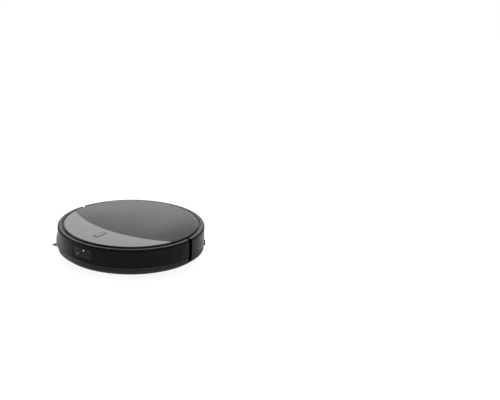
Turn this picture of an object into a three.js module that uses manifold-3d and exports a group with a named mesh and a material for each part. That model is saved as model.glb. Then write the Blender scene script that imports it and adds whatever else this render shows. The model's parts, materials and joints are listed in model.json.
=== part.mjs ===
// A low round robot vacuum and mop, as an assembly of separate pieces.
// Millimetres. The front is -Y, the robot's own left is +X, the floor is z = 0.

import * as THREE from 'three';
import { mergeVertices } from 'three/addons/utils/BufferGeometryUtils.js';
import Module from 'manifold-3d';

const wasm = await Module();
wasm.setup();

// ---------------------------------------------------------------- driving sizes

const clearance = 0.3; // running gap between neighbours
const roundSteps = 72; // facets round the body

const bodyRadius = 175;
const bodyHeight = 80;
const groundClearance = 11;
const shellWall = 2.5;
const bumperTravel = 3.5;
const bumperEnd = 92.2; // degrees from the front to each end of the bumper
const rearShellStart = 96.2; // degrees from the front to each end of the rear shell

const baseThickness = 3;
const skirtInset = 6.5;
const skirtRadius = bodyRadius - skirtInset;
const skirtHeight = 9.3;
const skirtWidth = 8.5;
const footDepth = 7.5;
const footRadius = bodyRadius - footDepth; // inner edge of the shells' feet
const frameWall = 2;
const frameGap = 0.5; // left at the bumper's full travel
const frameRadius = footRadius - bumperTravel - frameGap;
const frameInner = frameRadius - frameWall;

const rimWidth = 14; // the shells' rim, outside the lid
const lidRadius = bodyRadius - rimWidth;
const lidThickness = 2.5;
const lidRimDrop = 2;
const lidRimWidth = 4;
const lidChamferWidth = 2.4;
const lidChamferDepth = 1.8;
const lipThickness = 2;
const lipRadius = lidRadius + bumperTravel + clearance;
const trimThickness = 1.4;
const trimWidth = 18;
const trimRadius = lidRadius + rimWidth / 2;
const deckThickness = 2;

const seamRadius = 300; // the line between the front panel and the lid
const seamFront = -75; // where the line crosses the middle
const seamCentreY = seamFront + seamRadius;
const seamGap = 0.5;

const buttonLength = 38;
const buttonWidth = 15;
const buttonY = -108;
const buttonTravel = 1;
const buttonProud = 0.3;
const buttonSeat = 1.2;
const switchSize = 6;
const boardThickness = 1.6;

const windowAngle = 2.2; // its middle, from the front
const windowHalfAngle = 9.8;
const windowBottom = 40;
const windowHeight = 28;
const windowThickness = 3.4;
const windowRecess = 0.6;
const lensHeight = 61;
const moduleWidth = 13; // across the camera and the distance sensor
const moduleDepth = 12;
const cameraAngle = 8.7;
const lightAngle = 3.8;
const distanceAngle = -2.4;

const slitAngle = 81.5;
const slitWidth = 2;
const slitBottom = 38.7;
const slitHeight = 30;

const brushRadius = 19.8;
const brushHalfLength = 76;
const brushY = -52;
const brushGroundGap = 1.2;
const brushRunningGap = 2.2;
const brushFins = 6;
const brushCoreRadius = 12;
const brushAxleRadius = 4;
const chamberWall = 2;
const chamberEnd = 8;
const coverBorder = 4.7;
const ductHalfWidth = 24;
const ductLength = 20;

const binWall = 1.6;
const binHalfWidth = 76;
const binLength = 82;
const bayWall = 1.5;
const bayGap = 1;
const bayFront = -61;
const bayOutletHalfWidth = 20;

const wheelRadius = 34;
const wheelWidth = 18;
const wheelOffset = 121;
const tyreThickness = 7;
const wheelPivotY = -44;
const wheelPivotDrop = 4;
const pivotPinRadius = 3;
const armThickness = 7;
const wellGap = 4;

const casterRadius = 11;
const casterWidth = 14;
const casterTrail = 5;
const casterY = 41 - bodyRadius;
const casterTowerRadius = 23;
const casterStemRadius = 4;

const sideBrushX = -98;
const sideBrushY = -94;
const sideBrushReach = 85;
const sideBrushHubRadius = 15;
const sideBrushMotorRadius = 14.5;
const sideBrushTuftWidth = 17;
const sideBrushSweep = 7; // degrees that each tuft trails by at its tip

const mopRadius = 60;
const mopX = 66;
const mopY = 78;
const mopPadThickness = 5.5;
const mopPlateThickness = 2.4;
const mopPlateInset = 6;
const mopLift = 10;
const mopMotorRadius = 17;
const mopMotorHeight = 27;
const mopSpindleRadius = 7;

const batteryHalfWidth = 68;
const batteryY = -5;
const batteryLength = 32;
const batteryHeight = 24;

const fanRadius = 34;
const fanY = 64;
const fanWall = 3;
const fanChamberHeight = 22;
const fanTopGap = 2;

const tankHalfWidth = 60;
const tankFront = 102;
const tankLength = 42;
const tankHeight = 38;

const rollerAngle = 133;
const rollerRadius = 5;
const rollerHeight = 13.6;
const rollerProud = 3;
const rollerPinRadius = 1.5;

const ventCount = 6;
const ventStart = -116;
const ventPitch = 1.8; // degrees
const ventWidth = 1.8;
const ventBottom = 44;
const ventHeight = 14;

const contactAngle = 10;
const contactWidth = 15;
const contactHeight = 9;
const contactBottom = 37;

const podStart = -66; // degrees from the front, on the robot's right
const podEnd = -28;
const podBottom = 24;
const podHeight = 33;
const podDepth = 4.2;

// ---------------------------------------------------------------- levels

const baseBottom = groundClearance;
const baseTop = baseBottom + baseThickness;
const skirtTop = baseBottom + skirtHeight;
const shellFoot = skirtTop + clearance;
const lidTop = bodyHeight;
const lidPlateBottom = lidTop - lidThickness;
const lidFoot = lidPlateBottom - lidRimDrop;
const rimTop = lidFoot + lipThickness;
const trimTop = lidFoot - clearance;
const trimBottom = trimTop - trimThickness;
const deckTop = trimBottom - clearance;
const deckBottom = deckTop - deckThickness;
const brushZ = brushRadius + brushGroundGap;
const chamberRadius = brushRadius + brushRunningGap;
const chamberTop = brushZ + chamberRadius + chamberWall;
const bayBottom = chamberTop + clearance;
const binBottom = bayBottom + bayWall + clearance;
const binTop = lidPlateBottom - 2 * clearance;
const mopPlateTop = mopPadThickness + clearance + mopPlateThickness;
const recessTop = mopPlateTop + mopLift + 0.8;
const recessFloor = recessTop + 2;
const mopMotorBottom = recessFloor + clearance;
const wheelPivotZ = wheelRadius - wheelPivotDrop;
const casterPlateBottom = 2 * casterRadius + 1.5;
const casterTowerTop = casterPlateBottom + 18.5;

// The tuft of the side brush reaches past the body on the robot's right, so the body stands half of that
// beyond the middle of the whole.
const brushOverhang = sideBrushReach - sideBrushX - bodyRadius;
const bodyShift = brushOverhang / 2;

// ---------------------------------------------------------------- solids

const degrees = THREE.MathUtils.degToRad;

function solid(geometry) {
  const bare = geometry.clone();
  bare.deleteAttribute('normal');
  bare.deleteAttribute('uv');
  const merged = mergeVertices(bare, 1e-4);
  const index = merged.index.array;
  const triangles = [];
  for (let i = 0; i < index.length; i += 3) {
    const [a, b, c] = [index[i], index[i + 1], index[i + 2]];
    if (a !== b && b !== c && c !== a) triangles.push(a, b, c);
  }
  const mesh = new wasm.Mesh({
    numProp: 3,
    vertProperties: new Float32Array(merged.attributes.position.array),
    triVerts: new Uint32Array(triangles),
  });
  return new wasm.Manifold(mesh);
}

function geometryOf(body) {
  const mesh = body.getMesh();
  const geometry = new THREE.BufferGeometry();
  geometry.setAttribute('position', new THREE.BufferAttribute(new Float32Array(mesh.vertProperties), 3));
  geometry.setIndex(new THREE.BufferAttribute(new Uint32Array(mesh.triVerts), 1));
  geometry.computeVertexNormals();
  return geometry;
}

function combine(start, added = [], cut = [], kept = []) {
  let body = solid(start);
  for (const geometry of added) body = body.add(solid(geometry));
  for (const geometry of cut) body = body.subtract(solid(geometry));
  for (const geometry of kept) body = body.intersect(solid(geometry));
  return geometryOf(body);
}

// A turned body about Z. The profile is a list of [radius, height] points.
function turned(profile, segments = roundSteps) {
  const points = profile.map(([r, z]) => new THREE.Vector2(r, z));
  const area = points.reduce((sum, p, i) => sum + p.cross(points[(i + 1) % points.length]), 0);
  if (area < 0) points.reverse();
  const onAxis = points.filter((p) => p.x === 0).length === 2;
  if (onAxis) {
    while (!(points[0].x === 0 && points[points.length - 1].x === 0)) points.push(points.shift());
  } else {
    points.push(points[0].clone());
  }
  return new THREE.LatheGeometry(points, segments).rotateX(Math.PI / 2);
}

function block(x0, x1, y0, y1, z0, z1) {
  const geometry = new THREE.BoxGeometry(x1 - x0, y1 - y0, z1 - z0);
  return geometry.translate((x0 + x1) / 2, (y0 + y1) / 2, (z0 + z1) / 2);
}

function prism(shape, z0, z1, curveSegments = 12) {
  const options = { depth: z1 - z0, bevelEnabled: false, curveSegments };
  return new THREE.ExtrudeGeometry(shape, options).translate(0, 0, z0);
}

function disc(radius, z0, z1, x = 0, y = 0, segments = 32) {
  const geometry = new THREE.CylinderGeometry(radius, radius, z1 - z0, segments);
  return geometry.rotateX(Math.PI / 2).translate(x, y, (z0 + z1) / 2);
}

function rodAlongX(radius, x0, x1, y, z, segments = 32) {
  const geometry = new THREE.CylinderGeometry(radius, radius, x1 - x0, segments);
  return geometry.rotateZ(Math.PI / 2).translate((x0 + x1) / 2, y, z);
}

function rodAlongY(radius, y0, y1, x, z, segments = 24) {
  return new THREE.CylinderGeometry(radius, radius, y1 - y0, segments).translate(x, (y0 + y1) / 2, z);
}

function roundedRectangle(x0, x1, y0, y1, corner) {
  const shape = new THREE.Shape();
  shape.absarc(x1 - corner, y0 + corner, corner, -Math.PI / 2, 0);
  shape.absarc(x1 - corner, y1 - corner, corner, 0, Math.PI / 2);
  shape.absarc(x0 + corner, y1 - corner, corner, Math.PI / 2, Math.PI);
  shape.absarc(x0 + corner, y0 + corner, corner, Math.PI, 1.5 * Math.PI);
  return shape;
}

function roundedBlock(x0, x1, y0, y1, z0, z1, corner, curveSegments = 4) {
  return prism(roundedRectangle(x0, x1, y0, y1, corner), z0, z1, curveSegments);
}

// Angles are measured from the front, positive towards the robot's left.
function onCircle(radius, angle) {
  return new THREE.Vector2(radius * Math.sin(degrees(angle)), -radius * Math.cos(degrees(angle)));
}

function sector(from, to, radius, z0, z1) {
  const shape = new THREE.Shape();
  shape.moveTo(0, 0);
  const steps = Math.ceil((to - from) / 15);
  for (let i = 0; i <= steps; i += 1) {
    const p = onCircle(radius, from + ((to - from) * i) / steps);
    shape.lineTo(p.x, p.y);
  }
  return prism(shape, z0, z1);
}

// A piece that was drawn facing the front at x = 0, turned to the given angle.
function turnedTo(geometry, angle) {
  return geometry.rotateZ(degrees(angle));
}

// ---------------------------------------------------------------- materials

function finish(color, roughness, metalness = 0) {
  return new THREE.MeshStandardMaterial({ color, roughness, metalness });
}

const darkShell = finish(0x34353a, 0.45);
const greyPanel = finish(0xa6a8ac, 0.4);
const lidGrey = finish(0x6c6e73, 0.45);
const blackGloss = finish(0x08090b, 0.08);
const blackPlastic = finish(0x1c1d20, 0.6);
const greyPlastic = finish(0x7c7f85, 0.55);
const rubber = finish(0x17181a, 0.9);
const tuftGrey = finish(0xb4b6ba, 0.7);
const steel = finish(0xb8bbc0, 0.35, 0.9);
const gold = finish(0xc9a24b, 0.3, 0.9);
const boardGreen = finish(0x1f5a3a, 0.5);
const wrapBlue = finish(0x2a4f86, 0.4);
const mopCloth = finish(0x8d9299, 1);
const tankSmoke = finish(0x4a5058, 0.2);
const filterWhite = finish(0xe6e6e2, 0.95);

const robot = new THREE.Group();
robot.position.x = bodyShift;

function piece(name, geometry, material, parent = robot) {
  const mesh = new THREE.Mesh(geometry, material);
  mesh.name = name;
  parent.add(mesh);
  return mesh;
}

const sides = [
  { side: 'left', sign: 1 },
  { side: 'right', sign: -1 },
];

// ---------------------------------------------------------------- base and frame

const wellInner = wheelOffset - wheelWidth / 2 - armThickness - clearance;
const wellOuter = wheelOffset + wheelWidth / 2 + 3;
const wellFront = wheelPivotY - 8;
const wellRear = wheelRadius + wellGap;
const postThickness = 6;

function wheelWell(sign) {
  const [a, b] = [sign * wellInner, sign * wellOuter].sort((p, q) => p - q);
  return block(a, b, wellFront, wellRear, 0, bodyHeight);
}

function pivotPost(sign) {
  const outer = wellInner - clearance;
  const [a, b] = [sign * (outer - postThickness), sign * outer].sort((p, q) => p - q);
  return block(a, b, wheelPivotY - 6, wheelPivotY + 6, baseTop - 0.5, wheelPivotZ + 6);
}

function pivotBore(sign) {
  const [a, b] = [sign * (wellInner - 12), sign * wellInner].sort((p, q) => p - q);
  return rodAlongX(pivotPinRadius + clearance, a, b, wheelPivotY, wheelPivotZ, 16);
}

const cliffPlaces = [
  { name: 'cliff_sensor_front_left', x: 55, y: 40 - bodyRadius, alongX: 16, alongY: 6 },
  { name: 'cliff_sensor_front_right', x: -55, y: 40 - bodyRadius, alongX: 16, alongY: 6 },
  { name: 'cliff_sensor_left', x: wellOuter + 7, y: -42, alongX: 6, alongY: 16 },
  { name: 'cliff_sensor_right', x: -wellOuter - 7, y: -42, alongX: 6, alongY: 16 },
];

function cliffBlock(place, margin, z0, z1) {
  const [halfX, halfY] = [place.alongX / 2 + margin, place.alongY / 2 + margin];
  return block(place.x - halfX, place.x + halfX, place.y - halfY, place.y + halfY, z0, z1);
}

const mouthHalfWidth = brushHalfLength + 1 + coverBorder;
const mouthHalfLength = chamberRadius + 1;
const axleEnd = brushHalfLength + 1.5 + chamberEnd - 2;

function axleRoom() {
  return rodAlongX(brushAxleRadius + clearance, -axleEnd - 1, axleEnd + 1, brushY, brushZ, 16);
}

function chassisBase() {
  const tray = turned([
    [0, baseBottom],
    [skirtRadius - 18, baseBottom],
    [skirtRadius - 8.5, baseBottom + 1],
    [skirtRadius - 3, baseBottom + 3.4],
    [skirtRadius, baseBottom + 6.6],
    [skirtRadius, skirtTop],
    [skirtRadius - skirtWidth, skirtTop],
    [skirtRadius - skirtWidth - 4, baseTop + 2.4],
    [skirtRadius - skirtWidth - 9, baseTop],
    [0, baseTop],
  ]);
  const casterTower = disc(casterTowerRadius, baseTop - 0.5, casterTowerTop, 0, casterY);
  const added = [casterTower, pivotPost(1), pivotPost(-1)];
  const cut = [
    disc(casterTowerRadius - 2.5, 0, casterTowerTop - 4, 0, casterY),
    disc(casterStemRadius + clearance, 0, bodyHeight, 0, casterY, 16),
    disc(9, 0, bodyHeight, sideBrushX, sideBrushY, 24),
    block(
      -mouthHalfWidth, mouthHalfWidth, brushY - mouthHalfLength, brushY + mouthHalfLength, 0, bodyHeight,
    ),
    axleRoom(),
    roundedBlock(
      -batteryHalfWidth - 2, batteryHalfWidth + 2,
      batteryY - batteryLength / 2 - 1, batteryY + batteryLength / 2 + 1, 0, bodyHeight, 3,
    ),
  ];
  for (const { sign } of sides) {
    const ceiling = disc(mopRadius + 4.5, baseTop - 1, recessFloor, sign * mopX, mopY, 36);
    added.push(combine(ceiling, [], [], [disc(frameInner - clearance, 0, bodyHeight, 0, 0, roundSteps)]));
    cut.push(disc(mopRadius + 3, 0, recessTop, sign * mopX, mopY, 36));
    cut.push(disc(mopSpindleRadius + 2, 0, bodyHeight, sign * mopX, mopY, 24));
    cut.push(wheelWell(sign));
    cut.push(pivotBore(sign));
  }
  for (const place of cliffPlaces) cut.push(cliffBlock(place, clearance, 0, bodyHeight));
  return combine(tray, added, cut);
}

const bayHalfWidth = binHalfWidth + bayGap + bayWall;
const bayY0 = bayFront - bayGap - bayWall;
const bayY1 = bayFront + binLength + bayGap + bayWall;
const ductY0 = brushY - ductLength / 2;
const ductY1 = brushY + ductLength / 2;

const viewHalfWidth = frameRadius * Math.sin(degrees(cameraAngle)) + moduleWidth / 2 + 2.6;

function upperFrame() {
  const cup = turned([
    [0, deckBottom],
    [frameInner, deckBottom],
    [frameInner, shellFoot],
    [frameRadius, shellFoot],
    [frameRadius, deckTop],
    [0, deckTop],
  ]);
  const bay = block(-bayHalfWidth, bayHalfWidth, bayY0, bayY1, bayBottom, deckTop);
  const cut = [
    block(
      -bayHalfWidth + bayWall, bayHalfWidth - bayWall, bayY0 + bayWall, bayY1 - bayWall,
      bayBottom + bayWall, bodyHeight,
    ),
    block(-ductHalfWidth, ductHalfWidth, ductY0, ductY1, bayBottom - 1, bayBottom + bayWall + 1),
    block(
      -bayOutletHalfWidth, bayOutletHalfWidth, bayY1 - bayWall - 1, bayY1 + 1, bayBottom + 5, deckBottom - 4,
    ),
    block(-viewHalfWidth, viewHalfWidth, -bodyRadius, -frameInner + 12, windowBottom - 3, deckBottom),
    roundedBlock(
      -switchSize, switchSize, buttonY - switchSize, buttonY + switchSize, deckBottom - 1, deckTop + 1, 2,
    ),
  ];
  return combine(cup, [bay], cut);
}

piece('chassis_base', chassisBase(), blackPlastic);
piece('upper_frame', upperFrame(), blackPlastic);

piece(
  'trim_ring',
  turned([
    [trimRadius - trimWidth, trimBottom],
    [trimRadius, trimBottom],
    [trimRadius, trimTop],
    [trimRadius - trimWidth, trimTop],
  ]),
  blackPlastic,
);

for (const place of cliffPlaces) {
  piece(place.name, cliffBlock(place, 0, baseBottom + 0.4, baseTop + 6), blackGloss);
}

// ---------------------------------------------------------------- outer shells

// The bumper and the rear shell share this ring. Two shallow steps run round its foot.
function shellRing() {
  const inner = bodyRadius - shellWall;
  const edge = 3.7;
  return turned([
    [footRadius, shellFoot],
    [footRadius + 2.3, shellFoot],
    [footRadius + 5.4, shellFoot + 5.8],
    [footRadius + 6.1, shellFoot + 6.3],
    [footRadius + 6.9, shellFoot + 11.2],
    [bodyRadius, shellFoot + 11.8],
    [bodyRadius, rimTop - edge],
    [bodyRadius - edge * 0.3, rimTop - edge * 0.3],
    [bodyRadius - edge, rimTop],
    [lipRadius + 1.4, rimTop],
    [lipRadius, rimTop - 1.1],
    [lipRadius, rimTop - lipThickness],
    [inner, rimTop - lipThickness],
    [inner, shellFoot + 13],
    [footRadius, shellFoot + 2.2],
  ]);
}

const windowTop = windowBottom + windowHeight;

function bumper() {
  const [from, to] = [windowAngle - windowHalfAngle, windowAngle + windowHalfAngle];
  const cut = [sector(from, to, 2 * bodyRadius, windowBottom, windowTop)];
  for (const { sign } of sides) {
    const slit = block(
      -slitWidth / 2, slitWidth / 2, -bodyRadius - 1, -bodyRadius + shellWall + 1,
      slitBottom, slitBottom + slitHeight,
    );
    cut.push(turnedTo(slit, sign * slitAngle));
  }
  return combine(shellRing(), [], cut, [sector(-bumperEnd, bumperEnd, 3 * bodyRadius, 0, bodyHeight)]);
}

function sensorWindow() {
  const outer = bodyRadius - windowRecess;
  const [z0, z1] = [windowBottom + clearance, windowTop - clearance];
  const ring = turned([
    [outer - windowThickness, z0],
    [outer, z0],
    [outer, z1],
    [outer - windowThickness, z1],
  ]);
  const half = windowHalfAngle - 0.15;
  const kept = sector(windowAngle - half, windowAngle + half, 2 * bodyRadius, 0, bodyHeight);
  return combine(ring, [], [], [kept]);
}

const rollerCentre = bodyRadius + rollerProud - rollerRadius;
const rollerBottom = skirtTop + clearance;

function rearShell() {
  const slotTop = rollerBottom + rollerHeight + clearance;
  const cut = [];
  const pins = [];
  for (const { sign } of sides) {
    const half = rollerRadius + 0.7;
    const slot = block(-half, half, -bodyRadius - 5, -footRadius + 5, 0, slotTop);
    cut.push(turnedTo(slot, sign * rollerAngle));
    const pin = disc(rollerPinRadius, rollerBottom + clearance, slotTop + 2, 0, -rollerCentre, 12);
    pins.push(turnedTo(pin, sign * rollerAngle));
    const opening = block(
      -contactWidth / 2 - clearance, contactWidth / 2 + clearance,
      -bodyRadius - 2, -bodyRadius + shellWall + 2,
      contactBottom - clearance, contactBottom + contactHeight + clearance,
    );
    cut.push(turnedTo(opening, 180 + sign * contactAngle));
  }
  for (let i = 0; i < ventCount; i += 1) {
    const vent = block(
      -ventWidth / 2, ventWidth / 2, -bodyRadius - 1, -bodyRadius + shellWall + 1,
      ventBottom, ventBottom + ventHeight,
    );
    cut.push(turnedTo(vent, ventStart - ventPitch * i));
  }
  const rear = sector(rearShellStart, 360 - rearShellStart, 3 * bodyRadius, 0, bodyHeight);
  return combine(combine(shellRing(), [], cut, [rear]), pins);
}

// A smooth bulge over the wall sensor. It swells in plan and is rounded off above and below.
function sideSensorCover() {
  const inner = bodyRadius + clearance;
  const steps = 14;
  const shape = new THREE.Shape();
  for (let i = 0; i <= steps; i += 1) {
    const share = i / steps;
    const swell = Math.sin(Math.PI * share) ** 1.2;
    const p = onCircle(inner + 0.4 + (podDepth - 0.4) * swell, podStart + (podEnd - podStart) * share);
    if (i === 0) shape.moveTo(p.x, p.y);
    else shape.lineTo(p.x, p.y);
  }
  for (let i = steps; i >= 0; i -= 1) {
    const p = onCircle(inner, podStart + ((podEnd - podStart) * i) / steps);
    shape.lineTo(p.x, p.y);
  }
  const outer = inner + podDepth;
  const [z0, z1] = [podBottom, podBottom + podHeight];
  const rounding = turned([
    [inner - 2, z0],
    [inner + 0.5, z0 + 1],
    [outer - 1.2, z0 + 6],
    [outer, z0 + 12],
    [outer, z1 - 10],
    [outer - 1.2, z1 - 4],
    [inner + 0.5, z1 - 1],
    [inner - 2, z1],
  ]);
  return combine(prism(shape, podBottom, podBottom + podHeight), [], [], [rounding]);
}

piece('bumper', bumper(), darkShell);
piece('sensor_window', sensorWindow(), blackGloss);
piece('rear_shell', rearShell(), darkShell);
piece('side_sensor_cover', sideSensorCover(), blackPlastic);

function guideRoller() {
  const [bore, chamfer] = [rollerPinRadius + clearance, 0.8];
  return turned([
    [bore, 0],
    [rollerRadius - chamfer, 0],
    [rollerRadius, chamfer],
    [rollerRadius, rollerHeight - chamfer],
    [rollerRadius - chamfer, rollerHeight],
    [bore, rollerHeight],
  ], 16);
}

function chargeContact() {
  return block(
    -contactWidth / 2, contactWidth / 2, -bodyRadius + 0.6, -bodyRadius + 2.4,
    contactBottom, contactBottom + contactHeight,
  );
}

for (const { side, sign } of sides) {
  const roller = piece(`guide_roller_${side}`, guideRoller(), rubber);
  const place = onCircle(rollerCentre, sign * rollerAngle);
  roller.position.set(place.x, place.y, rollerBottom);
  const contact = piece(`charge_contact_${side}`, chargeContact(), gold);
  contact.rotation.z = degrees(180 - sign * contactAngle);
}

// ---------------------------------------------------------------- top covers

function topPlate() {
  return turned([
    [0, lidPlateBottom],
    [lidRadius - lidRimWidth, lidPlateBottom],
    [lidRadius - lidRimWidth, lidFoot],
    [lidRadius, lidFoot],
    [lidRadius, lidTop - lidChamferDepth],
    [lidRadius - lidChamferWidth * 0.6, lidTop - lidChamferDepth * 0.3],
    [lidRadius - lidChamferWidth, lidTop],
    [0, lidTop],
  ]);
}

// Everything behind the seam arc.
function behindSeam(offset) {
  const radius = seamRadius + offset;
  const spread = Math.asin(Math.min(0.95, (bodyRadius + 10) / radius));
  const shape = new THREE.Shape();
  shape.absarc(0, seamCentreY, radius, 1.5 * Math.PI - spread, 1.5 * Math.PI + spread);
  shape.lineTo(bodyRadius + 10, 2 * bodyRadius);
  shape.lineTo(-bodyRadius - 10, 2 * bodyRadius);
  return prism(shape, 0, bodyHeight + 10, 28);
}

function pillShape(length, width) {
  const corner = width / 2 - 0.01;
  return roundedRectangle(-width / 2, width / 2, buttonY - length / 2, buttonY + length / 2, corner);
}

const buttonGap = 0.4;

function frontPanel() {
  const opening = pillShape(buttonLength + 2 * buttonGap, buttonWidth + 2 * buttonGap);
  const hole = prism(opening, 0, bodyHeight + 10, 5);
  return combine(topPlate(), [], [behindSeam(seamGap / 2), hole]);
}

function topLid() {
  return combine(topPlate(), [], [], [behindSeam(-seamGap / 2)]);
}

const switchTop = deckTop + 0.5;

function powerButton() {
  const bottom = switchTop + buttonTravel + clearance;
  const cap = prism(pillShape(buttonLength, buttonWidth), bottom, lidTop + buttonProud - 0.4, 5);
  const crown = prism(pillShape(buttonLength - 0.8, buttonWidth - 0.8), bottom, lidTop + buttonProud, 5);
  const hollow = prism(
    pillShape(buttonLength - 4, buttonWidth - 4), bottom - 1, lidTop - buttonSeat, 5,
  );
  const stem = disc(2.4, bottom, lidTop - buttonSeat + 0.4, 0, buttonY, 12);
  return combine(combine(cap, [crown], [hollow]), [stem]);
}

piece('front_panel', frontPanel(), greyPanel);
piece('top_lid', topLid(), lidGrey);
piece('power_button', powerButton(), greyPanel);

// ---------------------------------------------------------------- sensors and electronics

// A sensor body hung under the deck behind the window, with a round eye that looks out at lens height.
function eyeModule(width, depth, eyeRadius, bottom, front) {
  const face = front + eyeLength;
  const body = block(-width / 2, width / 2, face, face + depth, bottom, deckBottom - clearance);
  const eye = rodAlongY(eyeRadius, front, face + 0.5, 0, lensHeight, 20);
  return combine(body, [eye]);
}

const eyeFront = -(bodyRadius - windowRecess - windowThickness - bumperTravel - 1);
const eyeLength = 3.5;

const camera = piece('camera_module', eyeModule(moduleWidth, moduleDepth, 4.6, 53, eyeFront), blackGloss);
camera.rotation.z = degrees(cameraAngle);
const light = piece('status_light', eyeModule(5, 8, 1.6, 56, eyeFront), filterWhite);
light.rotation.z = degrees(lightAngle);
const distance = piece('distance_sensor', eyeModule(moduleWidth, moduleDepth, 3.2, 46, eyeFront), blackGloss);
distance.rotation.z = degrees(distanceAngle);

function mainBoard() {
  const top = deckBottom - clearance;
  const board = roundedBlock(-58, 58, -134, bayY0 - 3, top - boardThickness, top, 4);
  const half = switchSize / 2;
  const key = block(-half, half, buttonY - half, buttonY + half, top - 0.5, switchTop);
  const chip = block(14, 34, buttonY - 8, buttonY + 12, top - boardThickness - 2, top - 0.5);
  const shield = block(-42, -18, buttonY - 10, buttonY + 14, top - boardThickness - 3, top - 0.5);
  return combine(board, [key, chip, shield]);
}

piece('main_board', mainBoard(), boardGreen);

function bumperSwitch() {
  const [near, far] = [frameRadius + clearance, frameRadius + 4.8];
  const plungerEnd = bodyRadius - shellWall - bumperTravel - 0.2;
  const body = block(-6, 6, -far, -near - 0.2, 44, 52);
  return combine(body, [rodAlongY(1.4, -plungerEnd, -far + 1, 0, 48, 12)]);
}

// A short return spring between the frame's wall and the back of the bumper.
function bumperSpring(x) {
  const radius = 3.5;
  const wallAt = (r, at) => -Math.sqrt(r * r - at * at);
  const y0 = wallAt(bodyRadius - shellWall, Math.abs(x) + radius) + clearance;
  const y1 = wallAt(frameRadius, Math.abs(x) - radius) - clearance;
  const coils = 3;
  const pitch = (y1 - y0) / coils;
  const profile = [[0, 0]];
  for (let i = 0; i < coils; i += 1) {
    profile.push([radius - 0.7, i * pitch], [radius, (i + 0.5) * pitch]);
  }
  profile.push([radius - 0.7, y1 - y0], [0, y1 - y0]);
  return turned(profile, 16).rotateX(-Math.PI / 2).translate(x, y0, 50);
}

for (const { side, sign } of sides) {
  const contact = piece(`bumper_switch_${side}`, bumperSwitch(), blackPlastic);
  contact.rotation.z = degrees(35 * sign);
  piece(`bumper_spring_${side}`, bumperSpring(60 * sign), steel);
}

// ---------------------------------------------------------------- main brush

const coverHalfWidth = mouthHalfWidth - clearance;
const coverHalfLength = mouthHalfLength - clearance;
const chamberHalfWidth = brushHalfLength + 1.5 + chamberEnd;
const chamberHalfLength = mouthHalfLength + 4;

function mainBrush() {
  const steps = brushFins * 4;
  const shape = new THREE.Shape();
  for (let i = 0; i < steps; i += 1) {
    const tip = i % 4 < 2;
    const turn = ((i + (i % 2 === 0 ? 0.25 : -0.25)) / steps) * 2 * Math.PI;
    const radius = tip ? brushRadius : brushCoreRadius;
    const point = [radius * Math.cos(turn), radius * Math.sin(turn)];
    if (i === 0) shape.moveTo(...point);
    else shape.lineTo(...point);
  }
  const roller = prism(shape, -brushHalfLength, brushHalfLength);
  return combine(roller, [disc(brushAxleRadius, -axleEnd, axleEnd, 0, 0, 16)]);
}

function brushChamber() {
  const body = block(
    -chamberHalfWidth, chamberHalfWidth, brushY - chamberHalfLength, brushY + chamberHalfLength,
    baseTop + clearance, chamberTop,
  );
  const tunnelHalf = brushHalfLength + 1.5;
  const cut = [
    rodAlongX(chamberRadius, -tunnelHalf, tunnelHalf, brushY, brushZ, 40),
    block(-tunnelHalf, tunnelHalf, brushY - chamberRadius, brushY + chamberRadius, 0, brushZ),
    rodAlongX(brushAxleRadius + clearance, -chamberHalfWidth - 1, chamberHalfWidth + 1, brushY, brushZ, 16),
    block(-ductHalfWidth, ductHalfWidth, ductY0, ductY1, brushZ, bodyHeight),
  ];
  return combine(body, [], cut);
}

function brushCover() {
  const outer = block(
    -coverHalfWidth, coverHalfWidth, brushY - coverHalfLength, brushY + coverHalfLength,
    baseBottom, baseTop,
  );
  const reach = Math.sqrt(brushRadius ** 2 - (brushZ - baseTop) ** 2) + 1;
  const mouth = block(
    coverBorder - coverHalfWidth, coverHalfWidth - coverBorder, brushY - reach, brushY + reach, 0, bodyHeight,
  );
  return combine(outer, [], [mouth, axleRoom()]);
}

const brush = piece('main_brush', mainBrush(), rubber);
brush.position.set(0, brushY, brushZ);
brush.rotation.y = Math.PI / 2;
piece('brush_chamber', brushChamber(), blackPlastic);
piece('main_brush_cover', brushCover(), greyPlastic);

function brushGearbox() {
  const inner = chamberHalfWidth + clearance;
  const rear = wheelPivotY - 6 - 3;
  return roundedBlock(inner, wellInner - 1, rear - 25, rear, baseTop + clearance, brushZ + 20, 3);
}

piece('main_brush_gearbox', brushGearbox(), greyPlastic);

// ---------------------------------------------------------------- side brush

const hubTop = baseBottom - clearance;

function sideBrushHub() {
  return turned([
    [0, 4],
    [sideBrushHubRadius - 4, 4],
    [sideBrushHubRadius, 6.5],
    [sideBrushHubRadius, hubTop],
    [5, hubTop],
    [5, baseTop - 0.1],
    [0, baseTop - 0.1],
  ], 32);
}

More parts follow.
